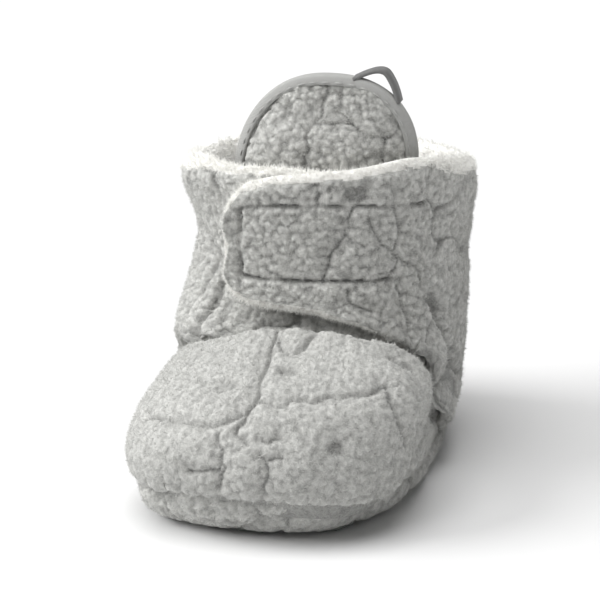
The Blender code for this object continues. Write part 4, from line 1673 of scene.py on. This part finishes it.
@dataclass
class Flap:
    """Closing flap from its root on the inner side across to its rounded free end."""

    root: float = 57.0
    end: float = -26.3
    end_level: float = 5.4
    upright_from: float = 25.0
    middle_level: float = 5.5
    height: float = 40.0
    corner: float = 14.0
    corner_turn: float = 88.0
    corner_cut: float = 0.55
    step: float = 0.42
    lining_step: float = 0.9
    white_edge: float = 1.8
    ragged: float = 0.4
    ragged_size: float = 1.8
    lower_rim: Reach = (44.0, 4.0)
    rim_pile: float = 0.6
    lining_weight: float = 0.3
    root_dive: float = 0.4
    dive_turn: float = 3.0
    drawn_from: float = 46.0
    lower: Line = ((-30.0, 4.57), (-16.0, 4.49), (5.0, 4.38), (30.0, 4.04), (54.0, 3.42), (58.0, 3.3))
    upper: Line = ((-30.0, 6.45), (-16.0, 6.65), (5.0, 6.85), (30.0, 6.97), (54.0, COLLAR), (58.0, COLLAR))
    box: Line = (
        (55.0, 6.42), (15.0, 6.40), (-14.0, 6.28), (-17.0, 6.1), (-18.0, 5.6),
        (-17.5, 5.22), (-15.0, 5.05), (15.0, 5.08), (43.0, 5.1),
    )
    groove_width: float = 0.75
    groove_depth: float = 1.0
    groove_least: float = 0.4
    groove_size: float = 4.0
    groove_range: Reach = (-0.35, 0.15)
    groove_shade: float = 0.85
    channels: tuple[Line, ...] = (
        ((21, 6.4), (18, 6.02), (16, 5.74), (12, 5.51), (9, 5.1)),
        ((27, 6.2), (31, 5.89), (34, 5.72), (38, 5.63)),
        ((38, 6.4), (40, 6.03), (38, 5.63), (40, 5.45), (37, 5.1)),
        ((38, 5.63), (43, 5.46), (52, 5.13), (56, 4.77)),
        ((5, 6.82), (8, 6.7), (8, 6.5)),
        ((19, 4.9), (22, 4.6), (30, 4.4)),
        ((40, 4.9), (44, 4.5), (48, 4.2), (47, 3.8)),
    )
    pits: tuple[Pit, ...] = (Pit(20.5, 6.6, 1.9), Pit(23.5, 6.6, 1.9))

    def upright(self, angle: Array, level: Array) -> Array:
        """Angles of the columns, turned so that the free end stands upright.

        Args:
            angle: Angles of the columns.
            level: Levels.

        Returns:
            The turned angles.
        """
        ring = WRAP_FORM.ring_at(level)
        end = WRAP_FORM.ring_at(np.array([self.end_level]))
        across = np.sin(np.radians(-self.end)) ** (2 / end.squareness)
        share = across * end.half_width / ring.half_width
        turned = -np.degrees(np.arcsin(share ** (ring.squareness / 2)))
        return angle + (turned - self.end) * ease(angle, self.upright_from, self.end)

    def layout(self, step: float) -> Layout:
        """Grid over the flap with points a step apart.

        Args:
            step: Distance between points.

        Returns:
            The grid.
        """
        bend = np.radians(np.linspace(0.0, self.corner_turn, int(self.corner / step)))[::-1]
        free = self.end + self.corner * (1 - np.sin(bend))
        track = np.linspace(self.end + self.corner, self.root, 800)
        line = WRAP_FORM.point(track, np.full(len(track), self.middle_level))
        plain = even_angles(track, line, int(run_length(line)[-1] / step))
        turn = np.concatenate([free, plain[1:]])
        cut = np.concatenate([1 - np.cos(bend), np.zeros(len(plain) - 1)]) * self.corner_cut
        share = (rim_rows(self.height, step, WALL / 2) / self.height)[:, None]
        low = edge_level(self.lower, turn) + cut
        high = edge_level(self.upper, turn) - cut
        level = low * (1 - share) + high * share
        angle = self.upright(np.broadcast_to(turn, level.shape), level)
        middle = WRAP_FORM.point(angle, level)
        height = norm(middle[-1] - middle[0])
        end = norm(middle - middle[:, :1]) + 0.03
        rise = np.minimum(share * height, end)
        drop = np.minimum((1 - share) * height, end)
        thick = rounding(rise, WALL / 2) * rounding(drop, WALL / 2)
        return Layout(angle, level, thick, rise, drop, np.zeros(level.shape))

    def box_path(self, count: int) -> Array:
        """Points of the box of stitches that holds the hook tape."""
        angle, level = through(self.box, count).T
        return WRAP_FORM.point(angle, level)

    def build(self) -> list[Piece]:
        """The flap with its pile outside, a white rim, its lining behind and its loose fibres.

        Returns:
            The flap and its fibres.
        """
        mesh = Mesh()
        grid = self.layout(self.step)
        dive = self.root_dive * ease(grid.angle, self.root - self.dive_turn, self.root)
        face = WRAP_FORM.layer(*grid.at, WALL / 2 * (1 - grid.thick) + dive)
        normal = grid_normal(face)
        pulled = ease(soft_noise(face, self.groove_size, 91), *self.groove_range)
        uneven = self.groove_least + (1 - self.groove_least) * pulled
        sunk = trough(face, self.box_path(60), self.groove_width) * uneven
        skin = WRAP_FORM.point(*grid.at)
        drawn = off_channels(WRAP_FORM, self.channels, self.pits, skin)
        alone = ease(grid.angle, self.root, self.drawn_from)
        grey, share = lay(face, normal, FLEECE_PILE, 1 - sunk, drawn=drawn, alone=alone)
        grey = grey - normal * (self.groove_depth * sunk)[..., None]
        white, white_share = lay(face, normal, LINING_PILE, self.rim_pile)
        ragged = self.white_edge + self.ragged * soft_noise(face, self.ragged_size, 67)
        rim = (grid.drop < ragged) | (grid.rise < ragged * ease(grid.angle, *self.lower_rim))
        raised = np.where(rim[..., None], white, grey)
        dim = share * (1 - self.groove_shade * sunk)
        outer = mesh.add_points(raised, np.where(rim, white_share, dim))
        mesh.add_grid(outer, lined(rim))
        back = self.layout(self.lining_step)
        inside = WRAP_FORM.layer(*back.at, WALL / 2 * (1 + back.thick))
        inward = -WRAP_FORM.normal(*back.at)
        soft, soft_share = lay(inside, inward, LINING_PILE, self.lining_weight)
        inner = mesh.add_points(soft, soft_share)
        mesh.add_grid(inner, Cloth.LINING, BACK_PATCH, back=True)
        mesh.add_rim(outer, inner, WHITE_TOP_AND_END)
        furry = ~rim & (sunk < 0.4) & (share > BARE)
        return [
            mesh.build("flap", (FLEECE, PLUSH), mapped=True),
            Fuzz("flap_fibres", GREY_FUZZ, 15000, seed=13).build(raised, furry),
            Fuzz("flap_rim_fibres", WHITE_FUZZ, 6000, 1.2, seed=17).build(raised, rim),
        ]


@dataclass
class Tongue:
    """Padded tongue with a bound edge and a pull loop."""

    half_thick: float = 1.8
    rim: float = 1.0
    bottom: float = 51.5
    widens: float = 72.0
    shoulder: float = 84.0
    top: float = 111.5
    low_half_width: float = 22.0
    half_width: float = 24.5
    round: float = 2.3
    shift: float = 3.5
    lean: float = 4.0
    play: float = 1.8
    side_shrink: float = 9.5
    binding_width: float = 3.2
    binding_thick: float = 0.7
    loop_thick: float = 1.3
    loop_width: float = 4.5
    loop_path: Line = (
        (5.6, 110.5), (8.4, 111.8), (11.4, 112.7), (13.7, 112.3), (15.3, 110.2), (16.7, 107.4), (17.8, 104.4),
    )
    step: float = 0.46
    columns: int = 110
    channel_fill: float = 0.03
    swell_reach: Reach = (1.5, 6.0)
    pile_reach: Reach = (0.5, 3.0)
    back_pile: float = 0.6
    fibre_border: Reach = (3.0, 3.5)    # bare border in front and behind
    fibre_height: Reach = (70.0, 60.0)  # lowest fibres in front and behind
    probe: float = 0.2
    binding_step: float = 0.8
    binding_round: float = 1.1
    hem_round: Reach = (0.3, 0.25)
    hem_soft: float = 0.02
    hem_flat: float = 0.6
    fold_room: float = 0.2
    loop_points: int = 60
    loop_edge: float = 0.06
    loop_round: float = 0.27
    loop_corner: float = 0.36
    loop_flat: float = 0.14

    @property
    def binding_half(self) -> float:
        """Half the thickness over the folded binding."""
        return self.rim + GAP + self.binding_thick

    def stand_off(self, z: Array) -> Array:
        """How far the tongue stands off the middle at a height."""
        return self.shift + self.lean * ease(z, self.widens, self.top)

    def point(self, x: Array, z: Array) -> Array:
        """Point of the middle face at a place across and a height.

        Args:
            x: Places across the tongue.
            z: Heights.

        Returns:
            The points.
        """
        shrink = LAYER_STEP + WALL + self.play + self.binding_half
        level = np.interp(z, [ring.front_z for ring in WRAP_RINGS], np.arange(len(WRAP_RINGS)))
        ring = WRAP_FORM.ring_at(level)
        middle = (ring.front_y + ring.back_y) / 2
        half_length = (ring.back_y - ring.front_y) / 2 - shrink
        across = np.clip(np.abs(x) / (ring.half_width - self.side_shrink), 0.0, 0.999)
        along = (1 - across ** ring.squareness) ** (1 / ring.squareness)
        return np.stack([x + self.stand_off(z), middle - half_length * along, z], axis=-1)

    def normal(self, x: Array, z: Array) -> Array:
        """Direction from the middle face out to the front."""
        return facing(self.point, x, z, self.probe, self.probe)

    def half_width_at(self, z: Array) -> Array:
        """Half the width at a height.

        Args:
            z: Heights.

        Returns:
            Half widths.
        """
        low = self.low_half_width
        wide = low + (self.half_width - low) * ease(z, self.widens, self.shoulder)
        rise = np.clip((z - self.shoulder) / (self.top - self.shoulder), 0.0, 1.0)
        return wide * (1 - rise ** self.round) ** (1 / self.round)

    def edge(self, step: float) -> Array:
        """Free edge from the lower -X corner over the top to the lower +X corner.

        Args:
            step: Distance between points.

        Returns:
            Places across and heights.
        """
        turn = np.linspace(0.0, np.pi / 2, 400)
        z = self.shoulder + (self.top - self.shoulder) * np.sin(turn) ** (2 / self.round)
        z = np.concatenate([np.linspace(self.bottom, self.shoulder, 200)[:-1], z])
        x = self.half_width_at(z)
        line = np.concatenate([np.stack([-x, z], axis=-1), np.stack([x, z], axis=-1)[-2::-1]])
        count = int(run_length(line)[-1] / step)
        place = even_shares(line, count)
        return np.stack([np.interp(place, np.arange(len(line)), line[:, k]) for k in (0, 1)], axis=-1)

    def pushed_in(self, line: Array, distance: Array | float) -> Array:
        """A line across the tongue moved to its right-hand side by a distance."""
        along = unit(np.gradient(line, axis=0))
        return line + np.stack([along[:, 1], -along[:, 0]], axis=-1) * distance

    def build_pad(self) -> list[Piece]:
        """The padded tongue, fleece in front and pile behind, and its loose fibres.

        Returns:
            The tongue and its fibres.
        """
        mesh = Mesh()
        edge = self.pushed_in(self.edge(self.step), self.binding_thick + 2 * GAP)
        half = len(edge) // 2
        left = edge[:half]
        right = edge[::-1][:half]
        across = np.linspace(0.0, 1.0, self.columns)
        flat = left[:, None] * (1 - across[None, :, None]) + right[:, None] * across[None, :, None]
        x = flat[..., 0]
        z = flat[..., 1]
        border = np.minimum(across, 1 - across) * (right - left)[:, :1]
        border = np.minimum(border, self.top - self.binding_thick - z)
        swell = self.rim + (self.half_thick - self.rim) * ease(border, *self.swell_reach)
        normal = self.normal(x, z)
        middle = self.point(x, z)
        weight = ease(border, *self.pile_reach)
        face = middle + normal * swell[..., None]
        raised, share = lay(face, normal, FLEECE_PILE, weight, alone=self.channel_fill)
        front = mesh.add_points(raised, share)
        mesh.add_grid(front)
        thin = (slice(None, None, 2), slice(None, None, 2))
        back = middle - normal * swell[..., None]
        soft, share = lay(back[thin], -normal[thin], LINING_PILE, weight[thin] * self.back_pile)
        rear = mesh.add_points(soft, share)
        mesh.add_grid(rear, Cloth.LINING, BACK_PATCH, back=True)
        mesh.add_rim(front, rear, GREY_RIM)
        furry, plush = (
            (border > bare) & (z > lowest) for bare, lowest in zip(self.fibre_border, self.fibre_height)
        )
        back_fuzz = Fuzz("tongue_back_fibres", WHITE_FUZZ, 5000, 1.5, 0.1, 2.5, 29)
        return [
            mesh.build("tongue_pad", (FLEECE, PLUSH), mapped=True),
            Fuzz("tongue_fibres", GREY_FUZZ, 8000, seed=19).build(raised, furry),
            back_fuzz.build(soft[:, ::-1], plush[thin]),
        ]

    def sweep(self, name: str, sections: Array, finish: WovenFinish) -> Piece:
        """A closed strip through a row of sections.

        Args:
            name: The piece's name.
            sections: Points, section by section.
            finish: Its finish.

        Returns:
            The new object.
        """
        mesh = Mesh()
        rings = mesh.add_points(sections)
        mesh.add_grid(closed(rings))
        for ring, turn in ((rings[0], 1), (rings[-1], -1)):
            mesh.add_faces(ring[None, ::-turn])
        return mesh.build(name, (finish,))

    def build_binding(self) -> Piece:
        """Tape folded round the free edge.

        Returns:
            The new object.
        """
        hem = self.binding_width
        half = self.binding_half
        bare = half - self.binding_thick
        bend = np.radians(np.linspace(90.0, -90.0, 11))
        back, down = self.hem_round
        inner = self.binding_thick + self.fold_room
        front = [(hem, half - down), (hem - back, half - self.hem_soft), (hem * self.hem_flat, half)]
        fold = [(self.binding_round * (1 - np.cos(t)), half * np.sin(t)) for t in bend]
        rear = [(inset, -rise) for inset, rise in reversed(front)]
        profile = front + fold + rear + [(hem, -bare), (inner, -bare), (inner, bare), (hem, bare)]
        edge = self.edge(self.binding_step)[1:-1]
        sections = []
        for inset, rise in profile:
            x, z = self.pushed_in(edge, inset).T
            sections.append(self.point(x, z) + self.normal(x, z) * rise)
        return self.sweep("binding", np.stack(sections, axis=1)[::-1], TAPE)

    def build_loop(self) -> Piece:
        """Loop of tape standing on the upper +X corner.

        Returns:
            The new object.
        """
        path = through(self.loop_path, self.loop_points)
        middle = self.point(path[:, 0], path[:, 1])[:, 1]
        turn = np.radians([45.0, 0.0, -45.0, 225.0, 180.0, 135.0])
        sections = []
        for t in turn:
            half = (0.5 - self.loop_edge) * self.loop_width
            deep = np.sign(np.cos(t)) * half + self.loop_round * np.cos(t)
            flat = self.loop_flat * np.sign(np.round(np.sin(t), 3))
            out = self.loop_thick * (self.loop_corner * np.sin(t) + flat)
            x, z = self.pushed_in(path, -out).T
            sections.append(np.stack([x + self.stand_off(path[:, 1]), middle + deep, z], axis=-1))
        return self.sweep("loop", np.stack(sections, axis=1), SHADED_LOOP_TAPE)


@dataclass
class Sole:
    """Padded fleece sole and pile insole."""

    step: float = 0.58
    insole_step: float = 1.2
    insole_inset: float = 4.6
    insole_thick: float = 3.0
    spine: Reach = (-30.0, 32.0)
    pile_weight: float = 0.6
    toe_lift: float = 2.5
    lift_reach: Reach = (46.0, 62.0)
    girth: float = 160.0
    half_way: float = 30.0
    end: float = 0.98
    insole_end: float = 0.97
    lid_inset: float = 5.0
    lid_points: int = 120
    under_reach: Reach = (0.5, 0.95)
    fibre_floor: float = 2.4
    fibre_drop: float = 2.0
    gather: SeamGather = SeamGather()
    lip: float = 0.65
    lip_start: float = 0.1
    lip_width: float = 1.5
    lowest: float = 0.25
    pad_half: float = 5.8
    profile: tuple[Profile, ...] = (
        Profile(3.4, SOLE_TOP + 0.9), Profile(1.6, SOLE_TOP + 0.4), Profile(0.5, 6.5), Profile(0.1, 5.3),
        Profile(0.6, 4.0), Profile(2.0, 2.6), Profile(4.4, SOLE_BOTTOM + 0.3), Profile(7.5, SOLE_BOTTOM),
        Profile(12.0, SOLE_BOTTOM),
    )
    toe_profile: tuple[Profile, ...] = (
        Profile(2.6, 12.4), Profile(0.2, 12.2), Profile(-1.3, 10.8), Profile(-1.8, 8.4), Profile(-1.0, 5.6),
        Profile(1.0, 3.4), Profile(4.0, SOLE_BOTTOM + 0.5), Profile(7.5, SOLE_BOTTOM),
        Profile(12.0, SOLE_BOTTOM),
    )

    def outline(self, count: int) -> tuple[Array, Array]:
        """Plan outline of the sole seam and its inward directions.

        Args:
            count: Number of points.

        Returns:
            Points in plan, and the directions at them.
        """
        track = np.linspace(0.0, 360.0, 2 * TRACK_POINTS + 1)
        line = WRAP_FORM.point(track, np.zeros(len(track)))
        angle = even_angles(track, line, count + 1)[:-1]
        flat = WRAP_FORM.point(angle, np.zeros(count))[:, :2]
        along = unit(np.roll(flat, -1, axis=0) - np.roll(flat, 1, axis=0))
        return flat, np.stack([-along[:, 1], along[:, 0]], axis=-1)

    def shrunk(self, flat: Array, share: Array) -> Array:
        """An outline drawn in towards the sole's spine, for shares from 0 to 1."""
        spine = np.stack([np.zeros(len(flat)), np.clip(flat[:, 1], *self.spine)], axis=-1)
        return flat + (spine - flat) * share[:, None, None]

    def rings(self, profile: Sequence[Profile], toe: Sequence[Profile], step: float, end: float) -> Array:
        """Rings of a disc from the first point of its profile in to its spine.

        Args:
            profile: Section of the edge from the waist to the heel.
            toe: Section of the edge round the toe, with as many points.
            step: Distance between points.
            end: Share of the way to the spine at which the rings stop.

        Returns:
            Points, ring by ring.
        """
        count = 2 * int(self.girth / step)
        flat, inward = self.outline(count)
        knots = np.array(profile)
        length = run_length(knots)
        along = np.linspace(0.0, length[-1], int(length[-1] / step) + 2)
        front = toe_share(flat)
        side = smooth(length, knots, along).T[..., None]
        tip = smooth(length, toe, along).T[..., None]
        inset, height = side * (1 - front) + tip * front
        edge = flat + inward * inset[..., None]
        share = np.linspace(0.0, end, int(self.half_way / step))[1:]
        middle = self.shrunk(edge[-1], share)
        plan = np.concatenate([edge, middle])
        high = np.concatenate([height, np.broadcast_to(height[-1], (len(share), count))])
        high = high + self.toe_lift * ease(-plan[..., 1], *self.lift_reach)
        return sprung(np.concatenate([plan, high[..., None]], axis=-1))

    def off_pads(self, points: Array) -> Array:
        """Distance from the nearest grip pad's edge, less than zero over the pad.

        Args:
            points: Points of the sole.

        Returns:
            Distances in millimetres.
        """
        best = np.full(points.shape[:-1], np.inf)
        turns = np.radians(np.arange(6) * 60.0 + PAD_TURN)
        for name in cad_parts:
            if not name.startswith("grip_pad"):
                continue
            low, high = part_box(name)
            centre = ((np.array(low) + np.array(high)) / 2 / MM - SHIFT)[:2]
            reach = (points[..., :2] - centre) @ np.stack([np.cos(turns), np.sin(turns)])
            best = np.minimum(best, reach.max(axis=-1) - self.pad_half)
        return best

    def build(self) -> list[Piece]:
        """The padded sole with a lip of pile round each pad.

        Returns:
            The sole and its fibres.
        """
        mesh = Mesh()
        face = self.rings(self.profile, self.toe_profile, self.step, self.end)
        wide = closed(face)
        turn = np.gradient(np.concatenate([face[:, -1:], wide, face[:, 1:2]], axis=1), axis=1)[:, 1:-1]
        normal = unit(np.cross(np.gradient(wide, axis=0), turn))[:, :-1]
        under = ease(-normal[..., 2], *self.under_reach)
        lip = self.lip * ease(self.off_pads(face), self.lip_start, self.lip_width) * under
        weight = 1 - (1 - self.pile_weight) * under
        down = np.arange(len(face))[:, None] * self.step
        crimp = self.gather.pleats(down, run_length(face[0])) * (1 - under)
        raised, share = lay(face + normal * (lip - crimp)[..., None], normal, FLEECE_PILE, weight)
        raised[..., 2] = np.maximum(raised[..., 2], self.lowest)
        share = share * self.gather.shade(down)
        low = mesh.add_points(raised, share)
        mesh.add_grid(closed(low)[::-1])
        mesh.add_ladder(low[-1], RIM_PATCHES[0], back=True)
        flat, inward = self.outline(self.lid_points)
        top = np.column_stack([flat + inward * self.lid_inset, np.full(self.lid_points, SOLE_TOP)])
        lid = mesh.add_points(sprung(top))
        ring = np.append(low[0], low[0, 0])
        mesh.add_band(ring[::-1], np.append(lid, lid[0])[::-1], Cloth.OUTSIDE, RIM_PATCHES[1])
        mesh.add_ladder(lid, BACK_PATCH)
        furry = (raised[..., 2] > self.fibre_floor) & (down > self.fibre_drop)
        return [
            mesh.build("sole", (FLEECE,), mapped=True),
            Fuzz("sole_fibres", GREY_FUZZ, 10000, 0.9, seed=23).build(raised[::-1], furry[::-1]),
        ]

    def build_insole(self) -> Piece:
        """The insole, pile on top.

        Returns:
            The new object.
        """
        mesh = Mesh()
        low = SOLE_TOP + GAP
        high = low + self.insole_thick
        inset = self.insole_inset
        profile = (
            Profile(inset, low), Profile(inset, high - 1.0), Profile(inset + 0.3, high - 0.3),
            Profile(inset + 1.0, high), Profile(inset + 5.0, high),
        )
        face = self.rings(profile, profile, self.insole_step, self.insole_end)
        up = np.broadcast_to(np.array([0.0, 0.0, 1.0]), face.shape)
        weight = ease(face[..., 2], low + 0.5, high)
        raised, share = lay(face, up, LINING_PILE, weight)
        top = mesh.add_points(raised, share)
        mesh.add_grid(closed(top))
        mesh.add_ladder(top[-1], RIM_PATCHES[0])
        mesh.add_ladder(top[0], BACK_PATCH, back=True)
        return mesh.build("footbed", (PLUSH,), mapped=True)


@dataclass
class Stitching:
    """Rows of sewn thread, each stitch a small bowed bead."""

    length: float = 2.6
    space: float = 0.9
    radius: float = 0.26
    sides: int = 6
    stations: int = 6
    first: float = 0.3
    bow: float = 0.35
    bow_sink: float = 0.25
    tip: float = 0.08
    box_points: int = 240
    box_sink: float = 0.85
    row_inset: float = 0.7
    row_sink: float = -0.05

    def add_row(self, mesh: Mesh, path: Array, outward: Array, sink: float) -> None:
        """Add a row of stitches along a path.

        Args:
            mesh: The mesh to add to.
            path: Points of the path.
            outward: Directions away from the cloth at the points.
            sink: How deep the thread lies under the path.
        """
        run = run_length(path)
        starts = np.arange(self.first, run[-1] - self.length, self.length + self.space)
        share = np.linspace(0.0, 1.0, self.stations)
        for start in starts:
            at = start + share * self.length
            centre = np.stack([np.interp(at, run, path[:, k]) for k in range(3)], axis=-1)
            up = unit(np.stack([np.interp(at, run, outward[:, k]) for k in range(3)], axis=-1))
            along = unit(np.gradient(centre, axis=0))
            side = np.cross(along, up)
            bow = np.sin(np.pi * share) * self.bow - self.bow_sink - sink
            round_off = np.sin(np.pi * (self.tip + (1 - 2 * self.tip) * share))
            thick = self.radius * np.sqrt(np.clip(round_off, 0.0, 1.0))
            ring = centre + up * bow[:, None]
            spread = spokes(self.sides, side, up)
            bead = mesh.add_points(ring[:, None] + spread * thick[:, None, None])
            mesh.add_grid(closed(bead), back=True)
            mesh.add_faces(bead[None, 0])
            mesh.add_faces(bead[None, -1, ::-1])

    def build_box(self, flap: Flap) -> Piece:
        """Box of stitches on the flap.

        Args:
            flap: The flap.

        Returns:
            The new object.
        """
        mesh = Mesh()
        angle, level = through(flap.box, self.box_points).T
        self.add_row(mesh, WRAP_FORM.point(angle, level), WRAP_FORM.normal(angle, level), self.box_sink)
        return mesh.build("box_stitches", (THREAD,))

    def build_binding_row(self, tongue: Tongue) -> Piece:
        """Row of stitches along the binding's hem.

        Args:
            tongue: The tongue.

        Returns:
            The new object.
        """
        mesh = Mesh()
        x, z = tongue.pushed_in(tongue.edge(1.0), tongue.binding_width - self.row_inset).T
        normal = tongue.normal(x, z)
        self.add_row(mesh, tongue.point(x, z) + normal * tongue.binding_half, normal, self.row_sink)
        return mesh.build("binding_stitches", (TAPE,))


class Glow(NamedTuple):
    """Soft distant light of the studio."""

    name: str
    comes_from: tuple[float, float, float]
    strength: float
    softness: float


@dataclass
class Studio:
    """Pale floor, soft light and the camera at the photograph's angle."""

    azimuth: float = 14.5
    elevation: float = 17.8
    distance: float = 0.8
    lens: float = 177.0
    aim: tuple[float, float, float] = (0.0, 0.0, 0.045)
    right_shift: float = -0.0017
    up_shift: float = 0.0027
    lights: tuple[Glow, ...] = (
        Glow("key", (-0.78, -0.28, 0.56), 2.5, 0.6),
        Glow("top", (-0.06, -0.16, 0.99), 2.2, 0.8),
    )
    sky: float = 0.2
    floor_half: float = 6.0
    floor_grey: float = 0.80
    floor_roughness: float = 0.9

    def build(self) -> None:
        """Make floor, lights and camera."""
        self.build_floor()
        self.build_lights()
        self.build_camera()

    def build_floor(self) -> None:
        """Pale floor that runs out of sight."""
        mesh = bpy.data.meshes.new("floor")
        half = self.floor_half
        corners = [(-half, -half, 0), (half, -half, 0), (half, half, 0), (-half, half, 0)]
        mesh.from_pydata(corners, [], [(0, 1, 2, 3)])
        floor = bpy.data.objects.new("floor", mesh)
        bpy.context.scene.collection.objects.link(floor)
        made = bpy.data.materials.new("pale_floor")
        made.use_nodes = True
        shader = made.node_tree.nodes["Principled BSDF"]
        shader.inputs["Base Color"].default_value = rgba((self.floor_grey,) * 3)
        shader.inputs["Roughness"].default_value = self.floor_roughness
        mesh.materials.append(made)

    def build_lights(self) -> None:
        """Soft lamps from the upper left and from above, and a pale sky."""
        scene = bpy.context.scene
        scene.view_settings.view_transform = "Standard"
        world = bpy.data.worlds.new("pale_sky")
        world.use_nodes = True
        sky = world.node_tree.nodes["Background"]
        sky.inputs["Color"].default_value = (1.0, 1.0, 1.0, 1.0)
        sky.inputs["Strength"].default_value = self.sky
        scene.world = world
        for glow in self.lights:
            lamp = bpy.data.lights.new(glow.name, "SUN")
            lamp.energy = glow.strength
            lamp.angle = glow.softness
            light = bpy.data.objects.new(glow.name, lamp)
            light.rotation_euler = Vector(glow.comes_from).to_track_quat("Z", "Y").to_euler()
            scene.collection.objects.link(light)

    def build_camera(self) -> None:
        """Camera at the photograph's angle, framing the one shoe."""
        a = np.radians(self.azimuth)
        e = np.radians(self.elevation)
        back = Vector((np.sin(a) * np.cos(e), -np.cos(a) * np.cos(e), np.sin(e)))
        right = Vector((np.cos(a), np.sin(a), 0.0))
        up = back.cross(right)
        aim = Vector(self.aim) + right * self.right_shift + up * self.up_shift
        lens = bpy.data.cameras.new("camera")
        lens.lens = self.lens
        lens.sensor_width = 36.0
        lens.clip_start = 0.01
        camera = bpy.data.objects.new("camera", lens)
        camera.location = aim + back * self.distance
        camera.rotation_euler = (-back).to_track_quat("-Z", "Y").to_euler()
        bpy.context.scene.collection.objects.link(camera)
        bpy.context.scene.camera = camera


def dress_nodes() -> None:
    """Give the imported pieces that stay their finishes."""
    for name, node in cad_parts.items():
        finish = GRIP if name.startswith("grip_pad") else {"hook_tape": HOOK, "heel_label": LABEL}.get(name)
        if finish:
            node.data.materials.clear()
            node.data.materials.append(finish.material())
            LOG.info("%s: finished", name)


def stand_for(pieces: Sequence[Piece], slot: str, *nodes: str) -> None:
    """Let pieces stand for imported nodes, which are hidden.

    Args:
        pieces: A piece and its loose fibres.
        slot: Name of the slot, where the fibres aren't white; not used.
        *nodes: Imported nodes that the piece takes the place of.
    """
    for piece in pieces:
        white = piece.active_material.name == WHITE_FUZZ.name
        "plush" if white else slot
    if nodes:
        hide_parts(*nodes)


def main() -> None:
    """Build the sub-assemblies in order."""
    logging.basicConfig(level=logging.INFO, format="%(message)s")
    dress_nodes()
    wrap = Wrap()
    flap = Flap()
    tongue = Tongue()
    sole = Sole()
    stitching = Stitching()
    padding = (
        (wrap.build(), "fleece", ("upper",), 0.4),
        (Vamp(wrap).build(), "fleece", (), 0.6),
        (flap.build(), "fleece", ("closure_flap",), 0.4),
        (tongue.build_pad(), "fleece", ("tongue",), 0.5),
        (sole.build(), "fleece", ("outsole",), 0.7),
        ([sole.build_insole()], "plush", ("insole",), 0.5),
    )
    for pieces, slot, nodes, fill in padding:
        stand_for(pieces, slot, *nodes)
    stand_for([tongue.build_binding()], "tape", "tongue_binding")
    stand_for([tongue.build_loop()], "tape", "pull_loop")
    stand_for([stitching.build_box(flap)], "tape")
    stand_for([stitching.build_binding_row(tongue)], "tape")
    Studio().build()


if __name__ == "__main__":
    main()
